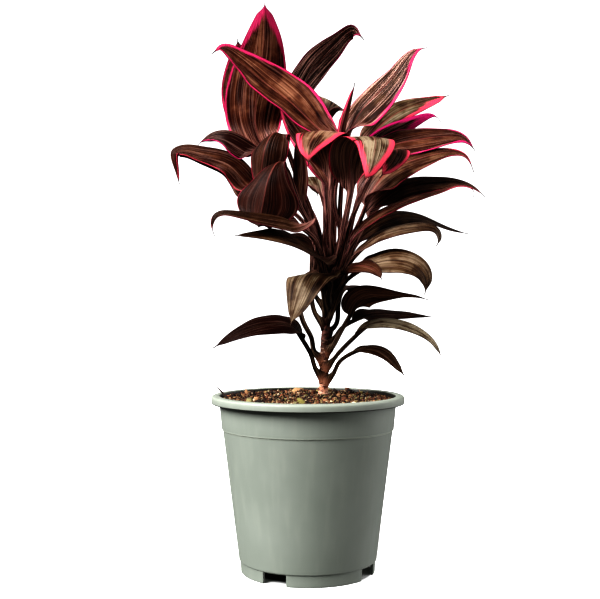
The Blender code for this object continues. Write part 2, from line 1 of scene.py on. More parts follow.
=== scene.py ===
# %% [markdown]
# A young ti plant in a plain nursery pot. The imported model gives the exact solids: the pot, the soil, the
# cane and 37 leaves. This lesson dresses them. Each leaf becomes a thin, veined blade with a coloured
# margin, the soil becomes crumbs and bark, and the pot gets its moulded lip and a sage plastic finish.
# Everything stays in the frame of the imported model, in metres, so nothing has to be fitted afterwards.

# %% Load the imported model
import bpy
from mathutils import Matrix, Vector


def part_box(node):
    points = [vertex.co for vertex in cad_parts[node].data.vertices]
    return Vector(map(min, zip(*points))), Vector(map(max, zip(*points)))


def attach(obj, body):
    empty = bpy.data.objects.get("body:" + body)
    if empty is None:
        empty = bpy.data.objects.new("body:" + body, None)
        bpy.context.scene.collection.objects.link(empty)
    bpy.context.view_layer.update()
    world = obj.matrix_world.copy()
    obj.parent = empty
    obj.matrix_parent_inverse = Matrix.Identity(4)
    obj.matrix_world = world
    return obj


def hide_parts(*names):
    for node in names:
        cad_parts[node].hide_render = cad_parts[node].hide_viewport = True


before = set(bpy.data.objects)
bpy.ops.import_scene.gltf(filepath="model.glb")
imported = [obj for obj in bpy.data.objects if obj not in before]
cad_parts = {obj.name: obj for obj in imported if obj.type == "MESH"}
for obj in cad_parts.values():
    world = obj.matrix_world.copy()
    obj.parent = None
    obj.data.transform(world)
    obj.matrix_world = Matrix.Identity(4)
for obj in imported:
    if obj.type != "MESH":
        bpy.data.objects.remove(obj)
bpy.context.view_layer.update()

import math

import bpy
import numpy as np

# %% [markdown]
# A plant is easiest to describe from the pot's own axis, in millimetres: X to the right, Y away from the
# front, Z up from the table. The pot's box gives the axis in the shared frame, and one function carries
# finished points over.

# %% Millimetres from the pot's axis
MM = 0.001
pot_low, pot_high = (np.array(corner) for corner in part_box("pot"))
POT_AXIS = (pot_low + pot_high) / 2 * [1, 1, 0]


def placed(points):
    """Millimetres from the pot's axis, as metres in the shared frame: scaled, then shifted sideways."""
    return np.asarray(points) * MM + POT_AXIS


print("pot axis at", POT_AXIS)

# %% [markdown]
# Every piece is made the same way: an array of points, an array of faces that number them, and the
# object that carries them. It rides on the one body of this model and stands for its CAD node.

# %% One way to make a piece
def make_mesh(name, points, *faces):
    """A mesh from points in millimetres and from arrays of faces, each with its own number of corners."""
    mesh = bpy.data.meshes.new(name)
    corners = [face for group in faces for face in group.tolist()]
    mesh.from_pydata(placed(points).tolist(), [], corners)
    mesh.shade_smooth()
    return mesh


def add_object(name, data):
    """An object made of a mesh, a lamp or a camera, put into the scene."""
    made = bpy.data.objects.new(name, data)
    bpy.context.scene.collection.objects.link(made)
    return made


def add_piece(name, mesh, finish, node=None):
    """The piece itself, at the origin and unturned, tied to the model's body."""
    piece = add_object(name, mesh)
    mesh.materials.append(finish)
    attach(piece, "root")
    if node:
        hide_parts(node)
    return piece


# %% [markdown]
# Materials are nodes joined by wires. Written as sums they are easier to read than a long list of links,
# so a Wire stands for one socket, and the usual signs between wires add Math nodes.

# %% Wires
class Wire:
    """A value on its way between two nodes."""

    def __init__(self, finish, socket):
        self.finish = finish
        self.socket = socket

    def __add__(self, other):
        return self.finish.sum("ADD", self, other)

    def __sub__(self, other):
        return self.finish.sum("SUBTRACT", self, other)

    def __rsub__(self, other):
        return self.finish.sum("SUBTRACT", other, self)

    def __mul__(self, other):
        return self.finish.sum("MULTIPLY", self, other)

    def __truediv__(self, other):
        return self.finish.sum("DIVIDE", self, other)

    __radd__ = __add__
    __rmul__ = __mul__


# %% [markdown]
# A Finish is one material that is being wired. Its node() adds any other kind of node, and the short
# methods after it are the few kinds that every finish here is made of: noise, masks that rise smoothly,
# and layers of colour.

# %% Finishes
class Finish:
    """One material, or the world. Its nodes are added from the pattern towards the surface."""

    def __init__(self, owner):
        self.owner = owner if isinstance(owner, bpy.types.World) else bpy.data.materials.new(owner)
        self.owner.use_nodes = True
        self.tree = self.owner.node_tree
        self.tree.nodes.clear()

    def node(self, kind, settings=None, inputs=None, output=0):
        """A node of one kind: its settings, then a value or a wire for each named or numbered input."""
        made = self.tree.nodes.new("ShaderNode" + kind)
        for key, value in (settings or {}).items():
            if key == "stops":
                ramp = made.color_ramp
                while len(ramp.elements) < len(value):
                    ramp.elements.new(0.5)
                for element, (position, colour) in zip(ramp.elements, value):
                    element.position = position
                    element.color = (*colour, 1.0)
            else:
                setattr(made, key, value)
        for key, value in (inputs or {}).items():
            socket = made.inputs[key]
            if isinstance(value, Wire):
                self.tree.links.new(value.socket, socket)
            elif socket.type == "RGBA":
                socket.default_value = (*value, 1.0)
            else:
                socket.default_value = value
        return Wire(self, made.outputs[output]) if len(made.outputs) else None

    def sum(self, operation, first, second):
        return self.node("Math", {"operation": operation}, {0: first, 1: second})

    def number(self, name):
        return self.node("Attribute", {"attribute_name": name}, output="Fac")

    def place(self):
        """The point that is being painted, in metres."""
        return self.node("TexCoord", output="Object")

    def parts(self, vector):
        """The three numbers of a vector, as three wires."""
        made = self.node("SeparateXYZ", inputs={0: vector})
        return [Wire(self, socket) for socket in made.socket.node.outputs]

    def vector(self, name):
        return self.node("Attribute", {"attribute_name": name}, output="Vector")

    def join(self, x, y, z):
        return self.node("CombineXYZ", inputs={0: x, 1: y, 2: z})

    def noise(self, place, scale, detail=2.0, roughness=0.5):
        inputs = {"Vector": place, "Scale": scale, "Detail": detail, "Roughness": roughness}
        return self.node("TexNoise", inputs=inputs)

    def step(self, value, low, high):
        """A mask that rises smoothly from 0 to 1 while the value goes from low to high."""
        settings = {"interpolation_type": "SMOOTHSTEP"}
        return self.node("MapRange", settings, {"Value": value, "From Min": low, "From Max": high})

    def by_height(self, start, end):
        """The same mask, for the height above the table in millimetres."""
        return self.step(self.parts(self.place())[2], start * MM, end * MM)

    def by_radius(self, start, end):
        """The same mask, for the distance from the pot's axis, whose squares are compared to save a root."""
        x, y, _ = self.parts(self.place())
        across, deep = x - float(POT_AXIS[0]), y - float(POT_AXIS[1])
        return self.step((across * across + deep * deep) / MM**2, start**2, end**2)

    def blend(self, mask, first, second):
        """The first colour where the mask is 0 and the second where it is 1."""
        settings = {"data_type": "RGBA", "clamp_factor": True}
        return self.node("Mix", settings, {0: mask, 6: first, 7: second}, output=2)

    def layered(self, base, *layers):
        """A colour with others over it, in order: each is a mask and the colour that it brings."""
        for mask, colour in layers:
            base = self.blend(mask, base, colour)
        return base

    def ramp(self, value, stops):
        """A colour read off a row of stops, each a position and a colour."""
        return self.node("ValToRGB", {"stops": stops}, {0: value})

    def bump(self, height, strength, distance):
        """Normals tilted as if the surface rose and fell with a height, by a distance in metres."""
        return self.node("Bump", inputs={"Strength": strength, "Distance": distance, "Height": height})

    def surface(self, **inputs):
        """The Principled shader with these inputs, joined to the material's output."""
        inputs = {key.replace("_", " "): value for key, value in inputs.items()}
        shader = self.node("BsdfPrincipled", inputs=inputs)
        self.node("OutputMaterial", inputs={"Surface": shader})
        return self.owner


# %% [markdown]
# The stage is a pale floor under soft studio light. The camera stands about a metre in front, level
# with the lower leaves, where a photographer's tripod would be. One large lamp from the front left does
# most of the work, as the shading of the pot shows. The surroundings look white to the camera, but as a
# light they are dim, and half as strong below the horizon, so that the leaves keep their dark depths.
# Only a band on the right is bright, like a white wall that throws light back at the pot's right side.

# %% Floor and light
FLOOR_HALF = 4.0
SHADE_EDGE = (57.0, 47.0)
GLOW_EDGE = (65.0, 62.0)
KEY_FROM = (-1.45, -0.95, 1.35)
KEY_STRENGTH = 6.2
KEY_SOFTNESS = 38.0
DIM_LIGHT = 0.20
SIDE_LIGHT = 1.70


def make_floor():
    """A pale floor square, with painted shadow where the pot keeps light out. It throws none back at the
    plant.
    """
    mesh = bpy.data.meshes.new("floor")
    corners = [(x * FLOOR_HALF, y * FLOOR_HALF, 0) for x, y in ((-1, -1), (1, -1), (1, 1), (-1, 1))]
    mesh.from_pydata(corners, [], [(0, 1, 2, 3)])
    floor = add_object("floor", mesh)
    finish = Finish("pale_floor")
    # painted shadow under the pot: no glow and a dark colour towards its axis
    glow = finish.blend(finish.by_radius(*GLOW_EDGE), (0.55, 0.55, 0.55), (0.0, 0.0, 0.0))
    paint = finish.blend(finish.by_radius(*SHADE_EDGE), (0.9, 0.9, 0.9), (0.02, 0.02, 0.02))
    paint = finish.surface(Base_Color=paint, Roughness=0.9, Emission_Color=glow, Emission_Strength=1.0)
    mesh.materials.append(paint)
    floor.visible_diffuse = False
    floor.visible_glossy = False


def make_key():
    """A sun so wide that its shadows are soft, turned so that it shines from KEY_FROM to the plant."""
    lamp = bpy.data.lights.new("key", "SUN")
    lamp.energy = KEY_STRENGTH
    lamp.angle = math.radians(KEY_SOFTNESS)
    made = add_object("key", lamp)
    x, y, z = KEY_FROM
    made.rotation_euler = (math.atan2(math.hypot(x, y), z), 0.0, math.atan2(x, -y))


def make_surroundings():
    """White for the camera. As a light it is dim, half as strong from below, and bright from the right."""
    world = bpy.data.worlds.new("studio")
    bpy.context.scene.world = world
    studio = Finish(world)
    x, y, z = studio.parts(studio.node("TexCoord", output="Generated"))
    seen = studio.node("LightPath", output="Is Camera Ray")
    above = studio.step(z, -0.25, 0.15)
    right = studio.step(x, 0.45, 0.95) * (0.8 + y * 0.5)
    dim = (DIM_LIGHT - x * 0.02 + right * SIDE_LIGHT) * (0.50 + above * 0.50)
    white = {"Color": (1.0, 1.0, 1.0), "Strength": seen + (1 - seen) * dim}
    studio.node("OutputWorld", inputs={"Surface": studio.node("Background", inputs=white)})


make_floor()
make_key()
make_surroundings()
print("lamp and surroundings are lit")


# %% [markdown]
# The camera was worked out from the pot in the photo: the ellipse of its rim, its ledge, its foot and its
# height together give how high the camera stood and how far away. The view is level, so upright lines
# stay upright.

# %% Camera
PICTURE_WIDTH = 600.0
FOCAL_LENGTH = 1004.0
SENSOR_WIDTH = 36.0
EYE = (-7.7, -991.0, 266.5)


def make_camera():
    """A level view along +Y. The focal length is known in pixels, and the sensor is the picture's width."""
    camera = bpy.data.cameras.new("camera")
    camera.sensor_width = SENSOR_WIDTH
    camera.lens = FOCAL_LENGTH / PICTURE_WIDTH * SENSOR_WIDTH
    camera.clip_start = 0.05
    made = add_object("camera", camera)
    made.location = placed(EYE)
    made.rotation_euler = (math.radians(90), 0.0, 0.0)
    bpy.context.scene.camera = made


make_camera()
bpy.context.scene.view_settings.view_transform = "Standard"
bpy.context.scene.view_settings.look = "Very High Contrast"

# %% [markdown]
# The pot is one injection moulding, so it is one surface: a profile turned about the axis. The lip is
# hooked outwards and down, a shallow ledge runs round high on the wall, and the foot band is cut by four
# notches that let water out. Turning the profile gives all but the notches and the drain holes.

# %% Profile of the pot
RIM_RADIUS = 95.0
POT_HEIGHT = 172.6
LIP_BOTTOM = 164.8
LIP_WALL = 2.1
NECK_RADIUS = 87.0
LEDGE_HEIGHT = 139.5
LEDGE_RADIUS = 83.6
LEDGE_STEP = 1.0
BAND_HEIGHT = 12.1
BAND_RADIUS = 66.4
BAND_STEP = 1.2
BASE_RADIUS = 65.8
WALL = 1.8
FLOOR_UNDERSIDE = 12.8
FLOOR_TOP = 15.0
POT_SEGMENTS = 192


def wall_outside(height):
    """Radius of the pot's outer wall: two cones, the upper one a step wider than the lower one."""
    upper = np.interp(height, [LEDGE_HEIGHT, LIP_BOTTOM], [LEDGE_RADIUS + LEDGE_STEP, NECK_RADIUS])
    lower = np.interp(height, [BAND_HEIGHT, LEDGE_HEIGHT], [BAND_RADIUS + BAND_STEP, LEDGE_RADIUS])
    return np.where(np.asarray(height) >= LEDGE_HEIGHT, upper, lower)


def arc(centre, radius, start, end, count):
    """Points of an arc in the profile's plane, from one angle in degrees to another."""
    angle = np.radians(np.linspace(start, end, count))
    return np.column_stack([centre[0] + radius * np.cos(angle), centre[1] + radius * np.sin(angle)])


def fillet(corner, radius, start, end, count):
    """The arc that rounds a square corner: its centre lies a radius in from both sides of the corner."""
    way = np.radians([start, end])
    inwards = -radius * np.array([np.cos(way).sum(), np.sin(way).sum()])
    return arc(corner + inwards, radius, start, end, count)


def along_wall(inset, heights):
    """Points on the wall at some heights, set in from its outer face."""
    return [(float(wall_outside(height)) - inset, height) for height in heights]


def pot_profile():
    """Radius and height, from the middle of the floor up the inside, over the lip and down the outside."""
    floor_edge = float(wall_outside(FLOOR_TOP + 2)) - WALL
    lip_inner = RIM_RADIUS - LIP_WALL
    roof = POT_HEIGHT - LIP_WALL
    pieces = [
        # The floor with its round corner, and the inner wall up to the mouth.
        [(0.0, FLOOR_TOP), (20.0, FLOOR_TOP), (46.0, FLOOR_TOP)],
        fillet((floor_edge, FLOOR_TOP), 2.0, -90, 0, 5),
        along_wall(WALL, (40.0, 75.0, 110.0, 137.0)),
        [(float(wall_outside(LEDGE_HEIGHT)) - WALL, LEDGE_HEIGHT + 0.4), (NECK_RADIUS - WALL, LIP_BOTTOM)],
        # Over the lip, down to its hem, and back up on its hidden side to the neck.
        fillet((NECK_RADIUS - 0.7, POT_HEIGHT), 1.6, 180, 90, 5),
        [(RIM_RADIUS - 4.0, POT_HEIGHT - 0.12)],
        arc((RIM_RADIUS - 2.4, POT_HEIGHT - 2.6), 2.4, 84, 0, 7),
        [(RIM_RADIUS + 0.05, POT_HEIGHT - 4.6), (RIM_RADIUS - 0.1, LIP_BOTTOM + 0.9)],
        fillet((RIM_RADIUS - 0.1, LIP_BOTTOM), 0.65, 0, -90, 4),
        [(lip_inner, LIP_BOTTOM), (lip_inner, roof - 0.9)],
        fillet((lip_inner, roof), 0.8, 0, 90, 4),
        [(NECK_RADIUS + 2.4, roof)],
        fillet((NECK_RADIUS + 0.4, roof), 1.2, 90, 180, 4),
        # Down the outer wall, in over the ledge, and on to the band.
        along_wall(0.0, (LIP_BOTTOM, 156.0, 148.0, LEDGE_HEIGHT + 1.2)),
        fillet((LEDGE_RADIUS + LEDGE_STEP, LEDGE_HEIGHT), 0.5, 0, -90, 4),
        [(LEDGE_RADIUS + 0.1, LEDGE_HEIGHT - 0.05), (LEDGE_RADIUS, LEDGE_HEIGHT - 0.4)],
        along_wall(0.0, (137.0, 110.0, 75.0, 40.0, BAND_HEIGHT + 1.6)),
        # In over the band, round the foot ring, and under the raised floor.
        fillet((BAND_RADIUS + BAND_STEP, BAND_HEIGHT), 0.6, 0, -90, 4),
        [(BAND_RADIUS + 0.1, BAND_HEIGHT - 0.05), (BAND_RADIUS, BAND_HEIGHT - 0.4)],
        [(BASE_RADIUS + 0.2, 3.0)],
        fillet((BASE_RADIUS, 0.0), 0.7, 0, -90, 4),
        fillet((BASE_RADIUS - 2.6, 0.0), 0.5, -90, -180, 3),
        [(BASE_RADIUS - 2.6, FLOOR_UNDERSIDE - 1.0), (BASE_RADIUS - 3.6, FLOOR_UNDERSIDE)],
        [(40.0, FLOOR_UNDERSIDE), (0.0, FLOOR_UNDERSIDE)],
    ]
    return np.concatenate([np.asarray(piece, float) for piece in pieces])


profile = pot_profile()
print(f"pot profile of {len(profile)} points")


# %% [markdown]
# A turned surface has a ring of points for each point of the profile between its two ends on the axis.
# Quads join each ring to the next, and a fan of triangles closes each end. The cane, the splinter and the
# bed of soil are closed in the same way.

# %% Turn the profile
def round_angles(count):
    """Angles of points spaced evenly round a circle."""
    return 2 * math.pi * np.arange(count) / count


def grid_faces(rows, columns):
    """Quads of a grid numbered row by row, its last column joined to its first, seen row before column."""
    row, column = np.meshgrid(np.arange(rows - 1), np.arange(columns), indexing="ij")
    here = row * columns + column
    beside = row * columns + (column + 1) % columns
    return np.stack([here, here + columns, beside + columns, beside], axis=-1).reshape(-1, 4)


def closed_skin(rows, columns):
    """The same quads, and triangles from the first and the last row to two poles numbered after the grid."""
    here = np.arange(columns)
    beside = (here + 1) % columns
    last = (rows - 1) * columns
    pole = np.full(columns, rows * columns)
    first_cap = np.column_stack([here, beside, pole])
    last_cap = np.column_stack([last + beside, last + here, pole + 1])
    return grid_faces(rows, columns), np.concatenate([first_cap, last_cap])


def turned(profile, segments):
    """A profile turned about Z: each point's radius goes round a circle, and both ends close on the axis."""
    angle = round_angles(segments)
    ring = np.stack([np.cos(angle), np.sin(angle)], axis=-1)
    body = profile[1:-1]
    around = body[:, None, :1] * ring[None]
    height = np.broadcast_to(body[:, None, 1:], (len(body), segments, 1))
    points = np.concatenate([around, height], axis=-1).reshape(-1, 3)
    poles = np.array([[0.0, 0.0, profile[0, 1]], [0.0, 0.0, profile[-1, 1]]])
    return np.concatenate([points, poles]), *closed_skin(len(body), segments)


# %% [markdown]
# The notches and holes are cut with Boolean modifiers, because a grid of turned points has no edge where
# a square notch needs one. A notch is cut by a box and a hole by a peg. Both reach well past the plastic
# that they cut through, because a Boolean has trouble with two faces that lie in one plane.

# %% Shapes to cut away
def block(centre, size, turn):
    """A box about a centre, then turned with it about Z by degrees."""
    corner = np.array([[x, y, z] for x in (-0.5, 0.5) for y in (-0.5, 0.5) for z in (-0.5, 0.5)])
    cosine, sine = math.cos(math.radians(turn)), math.sin(math.radians(turn))
    spin = np.array([[cosine, sine, 0], [-sine, cosine, 0], [0, 0, 1]])
    faces = [[0, 1, 3, 2], [4, 6, 7, 5], [0, 4, 5, 1], [2, 3, 7, 6], [0, 2, 6, 4], [1, 5, 7, 3]]
    return (corner * size + centre) @ spin, np.array(faces)


def peg(centre, radius, low, high, sides=24):
    """An upright round peg between two heights."""
    shape = np.array([[0.0, low], [radius, low], [radius, high], [0.0, high]])
    points, quads, caps = turned(shape, sides)
    return points + centre, quads, caps


def cut_away(piece, cutters):
    """Takes the cutters' shapes out of a piece at once, and leaves it a plain mesh."""
    for number, (points, *faces) in enumerate(cutters):
        name = f"cutter_{number}"
        modifier = piece.modifiers.new("cut", "BOOLEAN")
        modifier.object = add_object(name, make_mesh(name, points, *faces))
        modifier.operation = "DIFFERENCE"
        modifier.solver = "EXACT"
    graph = bpy.context.evaluated_depsgraph_get()
    mesh = bpy.data.meshes.new_from_object(piece.evaluated_get(graph))
    for modifier in list(piece.modifiers):
        cutter = modifier.object
        piece.modifiers.remove(modifier)
        bpy.data.objects.remove(cutter)
    piece.data = mesh


NOTCH_ANGLES = [-119.0, -29.0, 61.0, 151.0]
NOTCH_SIZE = (16.0, 25.0, 22.8)
DRAIN_CIRCLE = 52.0
DRAIN_RADIUS = 5.0
CUT_PAST = 4.0


def compass(degrees):
    """A level direction, by its angle from X towards Y."""
    return np.array([math.cos(math.radians(degrees)), math.sin(math.radians(degrees)), 0.0])


def pot_cutters():
    """A notch and a drain hole for each quarter of the pot. Each peg goes past both faces of the floor."""
    cutters = []
    for degrees in NOTCH_ANGLES:
        cutters.append(block((BASE_RADIUS, 0.0, 0.0), NOTCH_SIZE, degrees))
        centre = DRAIN_CIRCLE * compass(degrees)
        cutters.append(peg(centre, DRAIN_RADIUS, FLOOR_UNDERSIDE - CUT_PAST, FLOOR_TOP + CUT_PAST))
    return cutters


# %% [markdown]
# Sage plastic is nearly even in colour. What makes it look moulded is a faint vertical drag in its
# gloss and a fine orange-peel bump. The lip is painted lighter towards its top, a painted highlight
# where the lamp catches it. Three thin places are painted, because a fold so narrow gets too little
# shade from a soft lamp: the inner wall above the soil and the line under the lip are dark, and the
# ledge catches a pale line of light.

# %% Sage plastic
LIP_HIGHLIGHT_FROM = 164.0
LEDGE_LINE = ((138.5, 139.1), (140.6, 140.0))
INNER_WALL = ((164.0, 165.0), (172.6, 171.2))
LIP_SHADE = (166.0, 165.5)


def sage_plastic():
    """Sage clouds, drag marks, a painted highlight on the lip and the ledge, and painted shade in two
    places.
    """
    finish = Finish("sage_plastic")
    place = finish.place()
    x, y, z = finish.parts(place)
    drag = finish.noise(finish.join(x, y, z * 0.08), 160.0, 3.0)
    cloud = finish.noise(place, 14.0, 3.0)
    ledge_above, ledge_below = (finish.by_height(*edge) for edge in LEDGE_LINE)
    wall_above, wall_below = (finish.by_height(*edge) for edge in INNER_WALL)
    inside = finish.by_radius(NECK_RADIUS - 0.1, NECK_RADIUS - 0.5)
    under_lip = finish.by_radius(RIM_RADIUS - 3, RIM_RADIUS - 2) * finish.by_height(*LIP_SHADE)
    base = finish.layered(
        finish.blend(finish.step(cloud, 0.35, 0.7), (0.203, 0.222, 0.194), (0.224, 0.243, 0.214)),
        (finish.step(drag, 0.45, 0.75) * 0.25, (0.262, 0.280, 0.240)),
        # painted highlight: the lip is painted lighter towards its top
        (finish.by_height(LIP_HIGHLIGHT_FROM, POT_HEIGHT) * 0.55, (0.33, 0.355, 0.30)),
        # painted light on the ledge, then painted shade on the inner wall and under the lip
        (ledge_above * ledge_below * 0.6, (0.44, 0.47, 0.40)),
        (inside * wall_above * wall_below, (0.022, 0.020, 0.015)),
        (under_lip, (0.030, 0.032, 0.026)),
    )
    bump = finish.bump(finish.noise(place, 900.0, 2.0) + drag, 0.12, 0.0003)
    rough = 0.44 + finish.step(drag, 0.3, 0.7) * 0.12
    return finish.surface(Base_Color=base, Roughness=rough, Normal=bump)


pot_points, pot_quads, pot_caps = turned(profile, POT_SEGMENTS)
pot_mesh = make_mesh("sage_pot", pot_points, pot_quads, pot_caps)
pot = add_piece("sage_pot", pot_mesh, sage_plastic(), "pot")
cut_away(pot, pot_cutters())
pot.data.shade_smooth()
pot.data.set_sharp_from_angle(angle=math.radians(40))
print("pot faces", len(pot.data.polygons))

# %% [markdown]
# The cane is a leaning, slightly crooked stick. Where old leaves fell they left scars, each a shallow V
# that climbs from the front of its node to both sides. On a tube that is a ridge whose height depends on
# the angle, so radius is simply a function of two numbers: how far up, and which way round.

# %% Line and radius of the cane
CANE_LINE = np.array([
    (118, 15.5, 20.0, 4.6),
    (171, 15.5, 20.0, 4.6),
    (218, 17.0, 17.0, 4.1),
    (257, 19.5, 12.0, 3.8),
    (288, 22.5, 6.0, 3.6),
    (322, 25.5, -0.5, 2.3),
])
SCARS_FROM = 171.0
SCAR_GAP = 6.6
SCAR_CLIMB = 3.6
SCAR_TURN = 2.4
SCAR_WIDTH = 0.11
SCAR_RISE = 0.55
CANE_FLARE = 1.1
FLARE_HEIGHT = 168.0


def cane_at(height):
    """Centre and radius of the cane at a height, straight between the points of its line."""
    x, y, radius = (np.interp(height, CANE_LINE[:, 0], CANE_LINE[:, k]) for k in (1, 2, 3))
    return np.stack([x, y, height + 0 * x], axis=-1), radius


def cane_grid(rows=190, columns=40):
    """Rings of the cane. The radius swells at each scar, whose line climbs with the angle from its node."""
    height = np.linspace(CANE_LINE[0, 0], CANE_LINE[-1, 0], rows)[:, None]
    angle = round_angles(columns)[None]
    centre, radius = cane_at(height[:, 0])
    facing = np.floor((height - SCARS_FROM) / SCAR_GAP) * SCAR_TURN
    turned_by = np.abs((angle - facing + math.pi) % (2 * math.pi) - math.pi)
    climb = SCAR_CLIMB * (turned_by / math.pi)
    phase = ((height - SCARS_FROM - climb) / SCAR_GAP) % 1.0
    scar = np.exp(-((np.minimum(phase, 1 - phase) / SCAR_WIDTH) ** 2))
    above = np.clip((height - FLARE_HEIGHT) / 4, 0, 1)
    lumpy = 0.16 * np.sin(3 * angle + height / 9) + 0.12 * np.sin(5 * angle - height / 6)
    spread = radius[:, None] + above * SCAR_RISE * scar + lumpy
    spread = spread + CANE_FLARE * np.exp(-((height - FLARE_HEIGHT) / 5) ** 2)
    out = np.stack([np.cos(angle) + 0 * height, np.sin(angle) + 0 * height, 0 * angle * height], axis=-1)
    return centre[:, None] + spread[..., None] * out, scar * above


def closed_tube(grid):
    """Points, quads and end caps of a tube whose rings are the rows of a grid, turned to face outwards."""
    rows, columns, _ = grid.shape
    points = np.concatenate([grid.reshape(-1, 3), [grid[0].mean(axis=0)], [grid[-1].mean(axis=0)]])
    quads, caps = closed_skin(rows, columns)
    return points, quads[:, ::-1], caps[:, ::-1]


# %% [markdown]
# Young bark is orange-brown near the soil, where the light falls on it, and nearly black further up,
# where it stands deep among the stalks. The scars are the palest part, as long as they are in the light.

# %% Bark of the cane
BARK_DARKENS = (190.0, 222.0)
SCARS_SHOW = (232.0, 205.0)


def cane_bark():
    """Two browns by height, then dark patches, pale scars low down and dark fibres, one over another."""
    finish = Finish("cane_bark")
    place = finish.place()
    x, y, z = finish.parts(place)
    patch = finish.noise(place, 260.0, 4.0, 0.6)
    fibre = finish.noise(finish.join(x, y, z * 0.15), 1500.0, 3.0)
    scar = finish.step(finish.number("scar"), 0.35, 0.95) * finish.by_height(*SCARS_SHOW)
    base = finish.layered(
        finish.blend(finish.by_height(*BARK_DARKENS), (0.66, 0.33, 0.215), (0.036, 0.016, 0.011)),
        (finish.step(patch, 0.46, 0.56) * 0.8, (0.10, 0.028, 0.017)),
        (scar * 0.8, (0.92, 0.60, 0.45)),
        (finish.step(fibre, 0.55, 0.75) * 0.4, (0.06, 0.022, 0.015)),
    )
    bump = finish.bump(fibre + patch, 0.5, 0.0004)
    return finish.surface(Base_Color=base, Roughness=0.62, Normal=bump)


def write_number(mesh, name, values):
    """One number a point, which the material reads by its name."""
    mesh.attributes.new(name, "FLOAT", "POINT").data.foreach_set("value", np.ravel(values))


cane, scars = cane_grid()
cane_mesh = make_mesh("ringed_cane", *closed_tube(cane))
write_number(cane_mesh, "scar", np.concatenate([scars.ravel(), [0.0, 0.0]]))
add_piece("ringed_cane", cane_mesh, cane_bark(), "stem")
print("cane points", cane.shape)

# %% [markdown]
# A leaf starts from its midrib: a smooth curve through a few points. Across it every section is an arc.
# On the stalk the arc is a deep channel, and at the very foot it opens into a sheath that clasps the
# cane. On the blade it flattens, widens and narrows again, and may arch down or fold up. The section
# also rolls about the midrib, because most of these leaves turn their face to the light.

# %% A smooth curve through points
def smooth_step(x):
    """Rises from 0 to 1 without corners: three times the square less twice the cube."""
    x = np.clip(x, 0.0, 1.0)
    return x * x * (3 - 2 * x)


def through(points):
    """A natural cubic spline through points, by chord length: a reader, each point's mark, its length."""
    points = np.asarray(points, float)
    step = np.linalg.norm(np.diff(points, axis=0), axis=1)
    marks = np.concatenate([[0.0], np.cumsum(step)])
    inner = len(points) - 2
    system = np.diag(2 * (step[:-1] + step[1:])) + np.diag(step[1:-1], 1) + np.diag(step[1:-1], -1)
    slope = np.diff(points, axis=0) / step[:, None]
    bend = np.zeros_like(points)
    bend[1 : inner + 1] = np.linalg.solve(system, 6 * np.diff(slope, axis=0))

    def read(fraction):
        x = np.asarray(fraction) * marks[-1]
        k = np.clip(np.searchsorted(marks, x, side="right") - 1, 0, len(step) - 1)
        h, a, b = step[k][:, None], (marks[k + 1] - x)[:, None], (x - marks[k])[:, None]
        curved = (bend[k] * a**3 + bend[k + 1] * b**3) / (6 * h)
        return curved + (points[k] / h - bend[k] * h / 6) * a + (points[k + 1] / h - bend[k + 1] * h / 6) * b

    return read, marks / marks[-1], marks[-1]


# %% [markdown]
# Each leaf is one entry in a table, in millimetres from the pot's axis, so that the whole plant can be
# read at a glance: name, height of its seat on the cane, the midrib point where the blade starts, half
# width, roll at the stalk and at the tip, lift beside the rib and at the margin, what is special to it,
# and its midrib. Special are peak (the higher, the nearer to its tip a blade is widest), taper (the lower,
# the fuller it is), drip (length of the narrow tip) and bare (how much of the tip has no pink). In degrees,
# heading is the way a blade points, and clock the side of the cane on which its stalk leaves.

